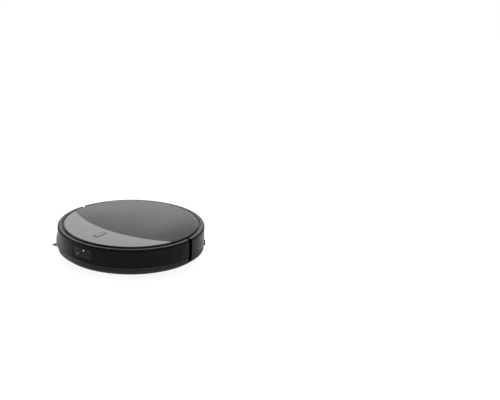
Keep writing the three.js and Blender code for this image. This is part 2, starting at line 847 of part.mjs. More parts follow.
// One tuft, drawn along -X. It trails by the sweep angle towards its tip and slopes down to the floor.
function sideBrushTuft() {
  const start = sideBrushHubRadius + 2 * clearance;
  const steps = 8;
  const edge = (share, across) => {
    const reach = start + (sideBrushReach - start) * share;
    const fullness = 0.62 + 0.38 * Math.sin(Math.PI * Math.min(1, share * 0.9 + 0.1));
    const half = (sideBrushTuftWidth / 2) * fullness;
    const turn = degrees(sideBrushSweep * share * share) + (across * half) / reach;
    return new THREE.Vector2(-reach * Math.cos(turn), reach * Math.sin(turn));
  };
  const points = [];
  for (let i = 0; i <= steps; i += 1) points.push(edge(i / steps, -1));
  for (let i = 0; i <= 4; i += 1) points.push(edge(1, -1 + (2 * i) / 4));
  for (let i = steps; i >= 0; i -= 1) points.push(edge(i / steps, 1));
  for (let i = 4; i > 0; i -= 1) points.push(edge(0, -1 + (2 * i) / 4));
  const outline = points.filter((p, i) => i === 0 || p.distanceTo(points[i - 1]) > 1e-3);
  const tuft = prism(new THREE.Shape(outline.reverse()), 5.6, 8.4);
  const places = tuft.attributes.position;
  for (let i = 0; i < places.count; i += 1) {
    const reach = Math.hypot(places.getX(i), places.getY(i));
    places.setZ(i, places.getZ(i) - 5 * ((reach - start) / (sideBrushReach - start)));
  }
  return tuft;
}

const sideBrush = new THREE.Group();
sideBrush.position.set(sideBrushX, sideBrushY, 0);
robot.add(sideBrush);
piece('side_brush_hub', sideBrushHub(), greyPlastic, sideBrush);
piece('side_brush_tuft_outer', sideBrushTuft(), tuftGrey, sideBrush);
piece('side_brush_tuft_inner', sideBrushTuft(), tuftGrey, sideBrush).rotation.z = Math.PI;
piece(
  'side_brush_gearbox',
  disc(sideBrushMotorRadius, baseTop + clearance, baseTop + 26, sideBrushX, sideBrushY),
  greyPlastic,
);

// ---------------------------------------------------------------- wheels

function tyre() {
  const [half, inner, shoulder] = [wheelWidth / 2, wheelRadius - tyreThickness, 2];
  return turned([
    [inner, -half + 1],
    [wheelRadius - shoulder, -half],
    [wheelRadius, -half + shoulder],
    [wheelRadius, half - shoulder],
    [wheelRadius - shoulder, half],
    [inner, half - 1],
  ], 36);
}

function wheelHub() {
  const [half, rim] = [wheelWidth / 2 - 1.5, wheelRadius - tyreThickness - clearance];
  return turned([
    [0, -half],
    [rim, -half],
    [rim, half],
    [rim - 3, half],
    [rim - 6, half - 3],
    [8, half - 3],
    [6, half - 1],
    [0, half - 1],
  ], 36);
}

// The arm stands beside the wheel and carries it at its rear end. It is drawn for the left wheel.
function suspensionArm(sign) {
  const [pivotRound, wheelRound] = [7, 12];
  const shape = new THREE.Shape();
  shape.absarc(wheelPivotY, wheelPivotZ, pivotRound, Math.PI / 2, 1.5 * Math.PI);
  shape.absarc(0, wheelRadius, wheelRound, -Math.PI / 2, Math.PI / 2);
  const plate = prism(shape, 0, armThickness - clearance, 8);
  const stub = disc(3, armThickness - clearance - 1, armThickness + 0.8, 0, wheelRadius, 16);
  const pin = disc(pivotPinRadius, -2 * postThickness, 1, wheelPivotY, wheelPivotZ, 16);
  // The drawing's axes (x, y, depth) become the robot's (y, z, x).
  const arm = combine(plate, [stub, pin]);
  arm.rotateX(Math.PI / 2).rotateZ(Math.PI / 2);
  return sign > 0 ? arm : geometryOf(solid(arm).mirror([1, 0, 0]));
}

function pivotSpring() {
  return turned([
    [pivotPinRadius + clearance, 0],
    [pivotPinRadius + 3.2, 0],
    [pivotPinRadius + 3.2, 5],
    [pivotPinRadius + clearance, 5],
  ], 20);
}

for (const { side, sign } of sides) {
  const tyrePiece = piece(`wheel_tyre_${side}`, tyre(), rubber);
  const hubPiece = piece(`wheel_hub_${side}`, wheelHub(), greyPlastic);
  for (const turning of [tyrePiece, hubPiece]) {
    turning.position.set(sign * wheelOffset, 0, wheelRadius);
    turning.rotation.y = sign * (Math.PI / 2);
  }
  const arm = piece(`suspension_arm_${side}`, suspensionArm(sign), blackPlastic);
  arm.position.x = sign * (wellInner + clearance / 2);
  const spring = piece(`suspension_spring_${side}`, pivotSpring(), steel);
  const springOuter = wellInner - clearance - postThickness - clearance;
  spring.position.set(sign * springOuter, wheelPivotY, wheelPivotZ);
  spring.rotation.y = -sign * (Math.PI / 2);
}

// ---------------------------------------------------------------- caster

function casterWheel() {
  const half = casterWidth / 2;
  const [chamfer, bore] = [1.5, 2 + clearance];
  return turned([
    [bore, -half],
    [casterRadius - chamfer, -half],
    [casterRadius, -half + chamfer],
    [casterRadius, half - chamfer],
    [casterRadius - chamfer, half],
    [bore, half],
  ], 28);
}

// Drawn about the swivel axis. The wheel trails behind it.
function casterFork() {
  const cheekInner = casterWidth / 2 + 0.6;
  const plate = disc(13, casterPlateBottom, casterPlateBottom + 2.5, 0, 0, 28);
  const stem = disc(casterStemRadius, casterPlateBottom + 1, casterTowerTop - 1, 0, 0, 16);
  const cheeks = [1, -1].map((sign) => {
    const [a, b] = [sign * cheekInner, sign * (cheekInner + 2.2)].sort((p, q) => p - q);
    return block(a, b, casterTrail - 4, casterTrail + 4, casterRadius - 4, casterPlateBottom + 0.5);
  });
  const axle = rodAlongX(2, -cheekInner - 1, cheekInner + 1, casterTrail, casterRadius, 14);
  return combine(plate, [stem, ...cheeks, axle]);
}

const caster = new THREE.Group();
caster.position.set(0, casterY, 0);
robot.add(caster);
piece('caster_fork', casterFork(), greyPlastic, caster);
const casterRoller = piece('caster_wheel', casterWheel(), rubber, caster);
casterRoller.position.set(0, casterTrail, casterRadius);
casterRoller.rotation.y = Math.PI / 2;

// ---------------------------------------------------------------- mops

function mopPad() {
  return turned([
    [0, 0],
    [mopRadius - 1, 0],
    [mopRadius, 1.5],
    [mopRadius, mopPadThickness - 1],
    [mopRadius - 1, mopPadThickness],
    [0, mopPadThickness],
  ], 36);
}

const mopPlateBottom = mopPadThickness + clearance;

for (const { side, sign } of sides) {
  const mop = new THREE.Group();
  mop.position.set(sign * mopX, mopY, 0);
  robot.add(mop);
  piece(`mop_pad_${side}`, mopPad(), mopCloth, mop);
  piece(
    `mop_plate_${side}`,
    disc(mopRadius - mopPlateInset, mopPlateBottom, mopPlateTop, 0, 0, 36),
    blackPlastic,
    mop,
  );
  piece(
    `mop_spindle_${side}`,
    disc(mopSpindleRadius, mopPlateTop + clearance, recessFloor - 0.1, 0, 0, 24),
    steel,
    mop,
  );
  piece(
    `mop_motor_${side}`,
    disc(mopMotorRadius, mopMotorBottom, mopMotorBottom + mopMotorHeight),
    greyPlastic,
    mop,
  );
}

// ---------------------------------------------------------------- power, suction, dust and water

const batteryFront = batteryY - batteryLength / 2;
const batteryRear = batteryY + batteryLength / 2;

piece(
  'battery_cover',
  roundedBlock(
    -batteryHalfWidth - 1.7, batteryHalfWidth + 1.7, batteryFront - 0.7, batteryRear + 0.7,
    baseBottom, baseTop, 2.8,
  ),
  blackPlastic,
);
piece(
  'battery',
  roundedBlock(
    -batteryHalfWidth, batteryHalfWidth, batteryFront, batteryRear,
    baseTop + clearance, baseTop + clearance + batteryHeight, 6,
  ),
  wrapBlue,
);

const fanTop = deckBottom - fanTopGap;
const fanFloor = fanTop - fanWall - fanChamberHeight;

function fanHousing() {
  const body = disc(fanRadius, recessFloor + clearance, fanTop, 0, fanY, 36);
  const chamber = disc(fanRadius - fanWall, fanFloor, fanTop - fanWall, 0, fanY, 36);
  const intake = block(-16, 16, fanY - fanRadius - 1, fanY - 20, fanFloor + 2, fanTop - fanWall - 2);
  const outlet = block(-12, 12, fanY + 20, fanY + fanRadius + 1, fanFloor + 2, fanTop - fanWall - 2);
  const post = disc(3, fanFloor - 1, fanTop - fanWall - 4, 0, fanY, 16);
  return combine(combine(body, [], [chamber, intake, outlet]), [post]);
}

function fanImpeller() {
  const [bottom, tip] = [1, fanRadius - fanWall - 3];
  const plate = disc(tip, bottom, bottom + 2, 0, 0, 30);
  const hub = disc(8, bottom, bottom + 14, 0, 0, 24);
  const bladeCount = 9;
  const blades = [];
  for (let i = 0; i < bladeCount; i += 1) {
    const blade = block(6, tip - 0.5, -0.8, 0.8, bottom + 1, bottom + 13);
    blades.push(blade.rotateZ((2 * Math.PI * i) / bladeCount));
  }
  const bore = disc(3 + clearance, 0, 20, 0, 0, 16);
  return combine(combine(plate, [hub, ...blades]), [], [bore]);
}

piece('fan_housing', fanHousing(), greyPlastic);
piece('fan_impeller', fanImpeller(), filterWhite).position.set(0, fanY, fanFloor);

const binRear = bayFront + binLength;
const filterHalfWidth = 48;
const filterBorder = 4; // below and above the filter
const gripHalfWidth = 22;
const gripFront = bayFront + 30;
const gripLength = 12;
const gripDepth = 7;
const gripWall = 1.5;

function dustBin() {
  const body = roundedBlock(-binHalfWidth, binHalfWidth, bayFront, binRear, binBottom, binTop, 6);
  const inside = roundedBlock(
    -binHalfWidth + binWall, binHalfWidth - binWall, bayFront + binWall, binRear - binWall,
    binBottom + binWall, binTop - binWall, 5,
  );
  const inlet = block(
    -ductHalfWidth, ductHalfWidth, ductY0 + 2, ductY1, binBottom - 1, binBottom + binWall + 1,
  );
  const filterSeat = block(
    -filterHalfWidth, filterHalfWidth, binRear - binWall - 1, binRear + 1,
    binBottom + filterBorder, binTop - filterBorder,
  );
  const cup = (margin, top) => roundedBlock(
    -gripHalfWidth - margin, gripHalfWidth + margin, gripFront - margin, gripFront + gripLength + margin,
    binTop - gripDepth - margin, top, 4,
  );
  const [grip, gripCup] = [cup(0, binTop + 1), cup(gripWall, binTop - 0.5)];
  return combine(combine(body, [], [inside, inlet, filterSeat]), [gripCup], [grip]);
}

piece('dust_bin', dustBin(), tankSmoke);
piece(
  'dust_filter',
  block(
    clearance - filterHalfWidth, filterHalfWidth - clearance, binRear - binWall - 2, binRear - 0.2,
    binBottom + filterBorder + clearance, binTop - filterBorder - clearance,
  ),
  filterWhite,
);

function waterTank() {
  const [bottom, rear] = [recessFloor + clearance, tankFront + tankLength];
  const body = roundedBlock(-tankHalfWidth, tankHalfWidth, tankFront, rear, bottom, bottom + tankHeight, 8);
  const neck = disc(9, bottom + tankHeight - 1, bottom + tankHeight + 6, 0, (tankFront + rear) / 2, 24);
  return combine(body, [neck]);
}

piece('water_tank', waterTank(), tankSmoke);

export default robot;
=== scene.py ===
"""Looks of a round robot vacuum and mop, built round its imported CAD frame.

Metres, +Z up. The robot's front is -Y and its own left is +X. Angles are in degrees and run round the
body's axis from the front, positive towards the robot's left.
"""

import json
import math

import bmesh
import bpy
from mathutils import Matrix, Vector


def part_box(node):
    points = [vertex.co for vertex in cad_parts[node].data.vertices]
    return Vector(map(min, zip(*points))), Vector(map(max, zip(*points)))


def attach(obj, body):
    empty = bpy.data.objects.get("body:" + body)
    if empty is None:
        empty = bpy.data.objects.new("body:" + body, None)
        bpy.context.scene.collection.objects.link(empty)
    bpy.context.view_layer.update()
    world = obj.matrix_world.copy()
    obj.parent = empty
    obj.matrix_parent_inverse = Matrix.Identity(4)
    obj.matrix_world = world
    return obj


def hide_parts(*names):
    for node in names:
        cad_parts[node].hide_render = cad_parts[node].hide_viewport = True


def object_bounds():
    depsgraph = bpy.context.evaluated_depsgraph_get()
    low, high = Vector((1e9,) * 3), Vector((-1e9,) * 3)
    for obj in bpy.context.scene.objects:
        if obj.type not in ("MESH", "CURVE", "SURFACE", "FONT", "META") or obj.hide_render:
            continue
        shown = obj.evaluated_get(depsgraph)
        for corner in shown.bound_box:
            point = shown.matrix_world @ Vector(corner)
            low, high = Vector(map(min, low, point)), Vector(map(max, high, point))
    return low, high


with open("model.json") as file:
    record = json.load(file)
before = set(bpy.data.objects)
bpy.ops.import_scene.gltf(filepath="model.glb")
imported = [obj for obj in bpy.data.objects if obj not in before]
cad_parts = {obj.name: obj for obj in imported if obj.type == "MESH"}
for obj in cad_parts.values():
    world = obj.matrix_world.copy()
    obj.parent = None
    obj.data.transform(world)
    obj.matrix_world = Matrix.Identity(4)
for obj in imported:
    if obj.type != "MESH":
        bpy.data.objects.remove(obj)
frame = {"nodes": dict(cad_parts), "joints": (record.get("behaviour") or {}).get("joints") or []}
cad_box = [list(corner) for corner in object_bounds()]

MM = 0.001

# ---------------------------------------------------------------- places read from the frame


def extent(node):
    """A node's lowest and highest corners, and the middle between them."""
    low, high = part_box(node)
    return low, high, (low + high) / 2


def middle(node):
    """The middle of a node's box."""
    return extent(node)[2]


AXIS_X = middle("trim_ring").x
BODY_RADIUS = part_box("bumper")[1].x - AXIS_X
FOOT_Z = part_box("rear_shell")[0].z
RIM_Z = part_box("rear_shell")[1].z
LID_RADIUS = -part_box("front_panel")[0].y
LID_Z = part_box("top_lid")[1].z
LID_FOOT_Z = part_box("top_lid")[0].z
BASE_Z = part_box("chassis_base")[0].z
SEAM_APEX_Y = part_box("top_lid")[0].y
BUMPER_TRAVEL = next(j["range_m"][1] for j in frame["joints"] if j["name"] == "bumper_press")
LIP_RADIUS = LID_RADIUS + BUMPER_TRAVEL + 0.3 * MM
BUMPER_END = 92.2 # the bumper's ends, and the rear shell's, either side of the front
REAR_START = 96.2
SLIT_ANGLE = 81.5
BULGE_START, BULGE_END = -66, -28

WINDOW_LOW, WINDOW_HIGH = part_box("sensor_window")
WINDOW_ANGLE = 2.2
WINDOW_HALF_ANGLE = 9.8
WINDOW_RECESS = 0.7 * MM
CAMERA_ANGLE = 8.7
LIGHT_ANGLE = 3.8
DISTANCE_ANGLE = -2.4

SOFT_EDGE = 0.3 * MM # the small rounding of moulded edges
HAIR = 0.01 * MM # how near a turned profile comes to its axis, where it closes

SLIT_WIDTH, SLIT_HEIGHT, SLIT_Z = 1.7 * MM, 30 * MM, 53.7 * MM
VENTS, VENT_ANGLE, VENT_STEP = 6, -116, 1.8
CONTACT_WIDTH, CONTACT_HEIGHT = 14.6 * MM, 8.6 * MM
CONTACT_GAP = 0.6 * MM # round a contact, and how far it lies inside the wall
SEAM_RADIUS = 300 * MM
SEAM_HALF_GAP = 0.25 * MM
BUTTON_GAP = 0.4 * MM

# ---------------------------------------------------------------- mesh helpers


def link(name, mesh):
    """A new object in the scene that holds the mesh."""
    piece = bpy.data.objects.new(name, mesh)
    bpy.context.scene.collection.objects.link(piece)
    return piece


def from_bmesh(name, bm):
    """A new object made from a bmesh, which is then freed."""
    mesh = bpy.data.meshes.new(name)
    bm.normal_update()
    bm.to_mesh(mesh)
    bm.free()
    return link(name, mesh)


def polar(radius, angle, z):
    """The point at a radius and an angle round the body's axis."""
    turn = math.radians(angle)
    return Vector((AXIS_X + radius * math.sin(turn), -radius * math.cos(turn), z))


def angle_of(place):
    """The angle round the body's axis at which a place lies."""
    return math.degrees(math.atan2(place.x - AXIS_X, -place.y))


def reach_of(place):
    """How far a place lies from the body's axis."""
    return (place.xy - Vector((AXIS_X, 0))).length


def lathe(name, columns, full=True):
    """Closed sections, one after another round an axis, joined up. A part turn is capped at its ends."""
    bm = bmesh.new()
    columns = [[bm.verts.new(point) for point in column] for column in columns]
    for i in range(len(columns) if full else len(columns) - 1):
        here, there = columns[i], columns[(i + 1) % len(columns)]
        for j in range(len(here)):
            k = (j + 1) % len(here)
            bm.faces.new((here[j], there[j], there[k], here[k]))
    if not full:
        bm.faces.new(columns[0])
        bm.faces.new(reversed(columns[-1]))
    return from_bmesh(name, bm)


def revolve(name, profile, start=0.0, end=360.0, step=1.0):
    """A closed profile of (radius, z) points, counterclockwise, turned about the body's axis."""
    full = end - start >= 360
    count = round((end - start) / step)
    angles = [start + (end - start) * i / count for i in range(count if full else count + 1)]
    return lathe(name, [[polar(r, angle, z) for r, z in profile] for angle in angles], full)


def turned(name, profile, steps=96):
    """A closed profile of (radius, z) points, counterclockwise, turned about the origin's Z axis."""
    turns = [2 * math.pi * i / steps for i in range(steps)]
    return lathe(name, [[(r * math.cos(t), r * math.sin(t), z) for r, z in profile] for t in turns])


def skin(name, rings):
    """Rings of points, one above another, skinned together, with both ends capped."""
    bm = bmesh.new()
    rows = [[bm.verts.new(point) for point in ring] for ring in rings]
    count = len(rows[0])
    for low, high in zip(rows, rows[1:]):
        for i in range(count):
            k = (i + 1) % count
            bm.faces.new((low[i], low[k], high[k], high[i]))
    bm.faces.new(reversed(rows[0]))
    bm.faces.new(rows[-1])
    return from_bmesh(name, bm)


def disc_with_edge(name, profile, steps=240, centre=(0.0, 0.0)):
    """A round plate: its edge profile runs from the underside to the top, and flat faces close both."""
    turns = [2 * math.pi * i / steps for i in range(steps)]
    x, y = centre
    rings = [[(x + r * math.sin(t), y - r * math.cos(t), z) for t in turns] for r, z in profile]
    return skin(name, rings)


def prism(name, outline, low, high):
    """A flat outline of (x, y) points, counterclockwise, raised from low to high."""
    return skin(name, [[(x, y, z) for x, y in outline] for z in (low, high)])


def arc(centre, radius, start, end, steps):
    """Points on a circle from one angle to another, in degrees from the first axis."""
    points = []
    for i in range(steps + 1):
        turn = math.radians(start + (end - start) * i / steps)
        points.append((centre[0] + radius * math.cos(turn), centre[1] + radius * math.sin(turn)))
    return points


def rounded_rectangle(width, height, corner, steps=6, centre=(0.0, 0.0)):
    """A rectangle with rounded corners, as (x, y) points, counterclockwise."""
    x, y = width / 2 - corner, height / 2 - corner
    points = []
    for (sx, sy), start in zip(((1, -1), (1, 1), (-1, 1), (-1, -1)), (-90, 0, 90, 180)):
        points += arc((centre[0] + sx * x, centre[1] + sy * y), corner, start, start + 90, steps)
    return points


def wall_place(radius, angle, z):
    """The matrix that stands a flat outline up against the wall, facing outwards."""
    turn = Matrix.Rotation(math.radians(angle), 4, "Z")
    stand = Matrix.Rotation(math.radians(90), 4, "X")
    return Matrix.Translation((AXIS_X, 0, z)) @ turn @ Matrix.Translation((0, -radius, 0)) @ stand


def facing_out(name, outline, radius, depth, angle, z):
    """An outline in the plane of the wall at an angle round the body, raised outwards to the radius."""
    piece = prism(name, outline, -depth, 0.0)
    piece.data.transform(wall_place(radius, angle, z))
    return piece


def through_wall(name, outline, angle, z):
    """An outline raised through the whole of the wall, as a cutting shape."""
    return facing_out(name, outline, BODY_RADIUS + 8 * MM, 20 * MM, angle, z)


def applied(piece):
    """The piece with its modifiers made part of its mesh."""
    bpy.context.view_layer.update()
    evaluated = piece.evaluated_get(bpy.context.evaluated_depsgraph_get())
    mesh = bpy.data.meshes.new_from_object(evaluated)
    piece.modifiers.clear()
    piece.data = mesh
    return piece


def boolean(piece, other, operation="DIFFERENCE"):
    """Cuts the other shape out of a piece, or keeps what they share. The other one is used up."""
    modifier = piece.modifiers.new("cut", "BOOLEAN")
    modifier.operation = operation
    modifier.solver = "EXACT"
    modifier.object = other
    applied(piece)
    bpy.data.objects.remove(other)
    return piece


def join(*parts):
    """One object from several, in the first one's name."""
    bm = bmesh.new()
    for part in parts:
        bm.from_mesh(part.data)
    name = parts[0].name
    for part in parts:
        bpy.data.objects.remove(part)
    return from_bmesh(name, bm)


def smooth(piece, angle=32):
    """Shades a piece smoothly, apart from edges sharper than the angle."""
    piece.data.shade_smooth()
    piece.data.set_sharp_from_angle(angle=math.radians(angle))
    return piece


def soften(piece, width, segments=3, angle=32):
    """Rounds every edge sharper than the angle, and shades the rest smoothly."""
    bevel = piece.modifiers.new("edges", "BEVEL")
    bevel.width = width
    bevel.segments = segments
    bevel.limit_method = "ANGLE"
    bevel.angle_limit = math.radians(angle)
    bevel.miter_outer = "MITER_ARC"
    bevel.harden_normals = True
    bevel.use_clamp_overlap = True
    smooth(piece, angle)
    return piece


# ---------------------------------------------------------------- materials


def new_material(name, values):
    """A material, its node tree and its shader, with the shader's plain inputs set."""
    material = bpy.data.materials.new(name)
    material.use_nodes = True
    shader = material.node_tree.nodes["Principled BSDF"]
    for socket, value in values.items():
        shader.inputs[socket].default_value = value
    return material, material.node_tree, shader


def add_node(tree, kind, values, wires):
    """A new shader node, with some inputs set to values and others wired to outputs."""
    node = tree.nodes.new("ShaderNode" + kind)
    for socket, value in values.items():
        node.inputs[socket].default_value = value
    for socket, source in wires.items():
        tree.links.new(source, node.inputs[socket])
    return node


def place_on(tree):
    """The place on the object at which a pattern is read."""
    return tree.nodes.new("ShaderNodeTexCoord").outputs["Object"]


def noise(tree, place, scale, detail=2):
    """A cloudy pattern between nothing and one."""
    clouds = add_node(tree, "TexNoise", {"Scale": scale, "Detail": detail}, {"Vector": place})
    return clouds.outputs["Fac"]


def mix_colours(tree, shader, share, first, second):
    """Colours the shader between two colours."""
    mix = tree.nodes.new("ShaderNodeMix")
    mix.data_type = "RGBA"
    mix.inputs[6].default_value = (*first, 1)
    mix.inputs[7].default_value = (*second, 1)
    tree.links.new(share, mix.inputs["Factor"])
    tree.links.new(mix.outputs[2], shader.inputs["Base Color"])


def vary(tree, shader, socket, share, low, high):
    """Lets one input of the shader vary between two values."""
    spread = add_node(tree, "MapRange", {"To Min": low, "To Max": high}, {"Value": share})
    tree.links.new(spread.outputs["Result"], shader.inputs[socket])


def add_bump(tree, shader, height, strength, distance, invert=False):
    """Roughens the shader's surface by a pattern's height."""
    bump = add_node(tree, "Bump", {"Strength": strength, "Distance": distance}, {"Height": height})
    bump.invert = invert
    tree.links.new(bump.outputs["Normal"], shader.inputs["Normal"])


def plastic(
    name, colour, roughness, grain=0.25, grain_size=0.35 * MM, mottle=0.06,
    coat=0.0, metallic=0.0, specular=0.5,
):
    """Moulded or painted plastic: a fine grain, and a slow drift in colour and in roughness."""
    material, tree, shader = new_material(name, {
        "Metallic": metallic, "Specular IOR Level": specular, "Coat Weight": coat, "Coat Roughness": 0.12,
    })
    place = place_on(tree)
    drift = noise(tree, place, 28, 5)
    darker, lighter = [c * (1 - mottle) for c in colour], [min(1, c * (1 + mottle)) for c in colour]
    mix_colours(tree, shader, drift, darker, lighter)
    vary(tree, shader, "Roughness", drift, roughness * 0.88, roughness * 1.12)
    add_bump(tree, shader, noise(tree, place, 1 / grain_size), grain, 0.02 * MM)
    return material


def metal(name, colour, roughness, streak_axis="Z"):
    """Drawn or brushed metal: fine streaks along one axis."""
    material, tree, shader = new_material(name, {"Base Color": (*colour, 1), "Metallic": 1})
    scales = [60 if axis == streak_axis else 2500 for axis in "XYZ"]
    stretch = add_node(tree, "Mapping", {"Scale": scales}, {"Vector": place_on(tree)})
    streaks = noise(tree, stretch.outputs["Vector"], 1)
    vary(tree, shader, "Roughness", streaks, roughness * 0.7, roughness * 1.4)
    add_bump(tree, shader, streaks, 0.1, 0.01 * MM)
    return material


def cloth(name, colour, loop_size, depth):
    """Looped or bristled fibre: a cell pattern for the loops, painted shade between them, and a sheen
    over them.
    """
    material, tree, shader = new_material(name, {"Roughness": 0.95, "Sheen Weight": 0.35})
    cells = add_node(tree, "TexVoronoi", {"Scale": 1 / loop_size}, {"Vector": place_on(tree)})
    loops = cells.outputs["Distance"]
    # Painted shade: the colour darkens towards the cells' edges, where the bump sinks between the loops.
    loop_hollow_shade = add_node(tree, "MapRange", {"From Max": 0.7}, {"Value": loops})
    lighter, darker = [min(1, c * 1.25) for c in colour], [c * 0.55 for c in colour]
    mix_colours(tree, shader, loop_hollow_shade.outputs["Result"], lighter, darker)
    add_bump(tree, shader, loops, 0.8, depth, invert=True)
    return material


def glowing(name, colour, strength):
    """Milky plastic that glows a little unevenly: a light guide for the status light, and a painted glow
    on the emitter strip, which gives no visible light.
    """
    colour = (*colour, 1)
    values = {"Base Color": colour, "Emission Color": colour, "Roughness": 0.4}
    material, tree, shader = new_material(name, values)
    milk = noise(tree, place_on(tree), 900)
    vary(tree, shader, "Emission Strength", milk, strength * 0.75, strength * 1.25)
    return material


def gloss(name, colour, roughness=0.06, specular=0.3):
    """Polished plastic or glass with the faintest unevenness in its gloss."""
    return plastic(
        name, colour, roughness, grain=0.02, grain_size=2 * MM, mottle=0.02, specular=specular,
    )


SHELL = plastic(
    "shell_dark_gloss", (0.0056, 0.0056, 0.006), 0.32, grain=0.05, mottle=0.03, specular=0.09,
)
RIM_SATIN = plastic("rim_satin", (0.006, 0.006, 0.0065), 0.36, grain=0.15, specular=0.07)
# Painted highlight: the foot beads' upward shelves are painted lighter than the shell, as light from
# above would make them.
FOOT_SHELF_HIGHLIGHT = plastic("foot_shelf_highlight", (0.04, 0.04, 0.041), 0.42, grain=0.15, specular=0.1)
# Painted shade: the shell's rounded rim edge gets this darker, matt black in place of the dark it
# reflects. It also colours the window's gasket.
GASKET_AND_RIM_EDGE_SHADE = plastic("gasket_black_and_rim_edge_shade", (0.0025, 0.0025, 0.003), 0.5, grain=0.2, specular=0.04)
PANEL = plastic(
    "panel_silver_satin", (0.212, 0.212, 0.215), 0.46, grain=0.2, mottle=0.02, metallic=0.12,
    specular=0.1,
)
# Painted shade: the button's shoulder is painted near black for the dark that its sloping side reflects.
BUTTON_SHOULDER_SHADE = plastic("button_shoulder_shade", (0.012, 0.012, 0.013), 0.35, grain=0.1, specular=0.2)
LID = plastic("lid_graphite_satin", (0.01, 0.01, 0.0107), 0.24, grain=0.12, mottle=0.02, specular=0.028)
# Painted shade: the top plates' rolled edge is painted dark for the dark it reflects. The same dark
# colours the lens bezels.
BEZEL_AND_PLATE_EDGE_SHADE = plastic("bezel_dark_and_plate_edge_shade", (0.005, 0.005, 0.006), 0.32, grain=0.1, specular=0.12)
BLACK = plastic(
    "black_moulding", (0.0075, 0.0075, 0.0085), 0.55, grain=0.4, grain_size=0.6 * MM, specular=0.2,
)
GREY = plastic("grey_moulding", (0.2, 0.205, 0.22), 0.5, grain=0.4, grain_size=0.6 * MM)
WINDOW = gloss("window_smoked_black", (0.0035, 0.0035, 0.0045), 0.05, 0.18)
LENS = gloss("lens_glass", (0.002, 0.003, 0.006), 0.02)
SMOKE = plastic("smoked_moulding", (0.05, 0.056, 0.066), 0.16, grain=0.08, coat=0.4)
RUBBER = plastic("black_rubber", (0.011, 0.011, 0.012), 0.72, grain=0.7, grain_size=0.8 * MM)
TUFT = cloth("pale_bristle", (0.34, 0.345, 0.355), 0.5 * MM, 0.15 * MM)
MOP = cloth("grey_microfibre", (0.25, 0.27, 0.3), 1.6 * MM, 0.8 * MM)
STEEL = metal("steel", (0.55, 0.55, 0.57), 0.28)
CONTACT = metal("plated_contact", (0.62, 0.47, 0.2), 0.22, "X")
BOARD = plastic("green_lacquer", (0.014, 0.1, 0.042), 0.3, grain=0.3, grain_size=1.5 * MM, mottle=0.2)
WRAP = plastic("blue_wrap", (0.02, 0.06, 0.22), 0.25, grain=0.3, grain_size=4 * MM)
WHITE = plastic("white_moulding", (0.72, 0.72, 0.7), 0.5, grain=0.3)
FILTER = cloth("pleated_filter", (0.7, 0.7, 0.68), 0.9 * MM, 0.3 * MM)
LIGHT = glowing("status_glow", (0.85, 0.9, 0.95), 1.1)
# Painted light: the emitter strip is made to glow a dim grey, though it gives no visible light.
EMITTER_PAINTED_GLOW = glowing("emitter_painted_glow", (0.45, 0.5, 0.55), 0.25)


def dress(piece, material, body, slot, *nodes):
    """Gives a new piece its material and body, and hides the nodes it stands for."""
    piece.data.materials.clear()
    piece.data.materials.append(material)
    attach(piece, body)
    if nodes:
        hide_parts(*nodes)


# ---------------------------------------------------------------- outer shells


def shell_profile():
    """The section that the bumper and the rear shell share, from the foot's inner edge to its outside.

    Two beads run along the foot, each with a shelf that faces up.
    """
    r, foot, rim = BODY_RADIUS, FOOT_Z, RIM_Z
    wall = 2.4 * MM
    fillet = 3.9 * MM
    bead = ((2.4, 0), (1.3, 0.2), (0.8, 0.8), (1.0, 2.2), (1.5, 4.4), (2.1, 5.1), (2.8, 5.5), (2.8, 5.9))
    points = [(r - 7.5 * MM, foot)]
    for start in (0.0, 6.4 * MM):
        points += [(r - depth * MM, foot + start + height * MM) for depth, height in bead]
    low, high = foot + 13.1 * MM, rim - fillet
    points += [(r - 0.5 * MM, low - 0.5 * MM), (r, low)]
    rows = 11
    points += [(r, low + (high - low) * i / rows) for i in range(1, rows)]
    points += arc((r - fillet, rim - fillet), fillet, 0, 90, 7)
    points += [(r - 5.5 * MM, rim), (r - 7.2 * MM, rim)]
    points += arc((LIP_RADIUS + 1.1 * MM, rim - 1.1 * MM), 1.1 * MM, 90, 180, 4)
    lip = rim - 1.9 * MM
    points += [(LIP_RADIUS, lip), (r - wall - 0.6 * MM, lip), (r - wall, rim - 2.6 * MM)]
    points += [(r - wall, high - (high - low) * i / 5) for i in range(1, 5)]
    points += [(r - wall, foot + 14 * MM), (r - 4.8 * MM, foot + 8 * MM)]
    points += [(r - 7.5 * MM, foot + 2.2 * MM)]
    return points


def paint_shell(piece):
    """Gives the rim's flat a satin finish. Paints the rim's rounded edge dark and matt, as painted shade
    for the dark it reflects, and the foot beads' upward shelves lighter, as a painted highlight.
    """
    for material in (RIM_SATIN, GASKET_AND_RIM_EDGE_SHADE, FOOT_SHELF_HIGHLIGHT):
        piece.data.materials.append(material)
    for face in piece.data.polygons:
        radius = reach_of(face.center)
        if face.center.z > RIM_Z - 4 * MM and radius > LIP_RADIUS + 0.3 * MM:
            # The rim's rounded edge, which is not flat, gets the painted shade.
            flat = face.normal.z > 0.85 and radius < BODY_RADIUS - 2.6 * MM
            face.material_index = 1 if flat else 2
        elif face.center.z < FOOT_Z + 13 * MM and radius > BODY_RADIUS - 3 * MM:
            # Painted highlight: the beads' faces that turn up are painted lighter.
            if face.normal.z > 0.05:
                face.material_index = 3


def window_outline(margin):
    """The window's outline on the wall, in its own width and height."""
    low, high = WINDOW_LOW.z - 0.3 * MM, WINDOW_HIGH.z + 0.3 * MM
    width = 2 * BODY_RADIUS * math.sin(math.radians(WINDOW_HALF_ANGLE))
    corner = max(0.5 * MM, 2.2 * MM - margin)
    return rounded_rectangle(width - 2 * margin, high - low - 2 * margin, corner), (low + high) / 2


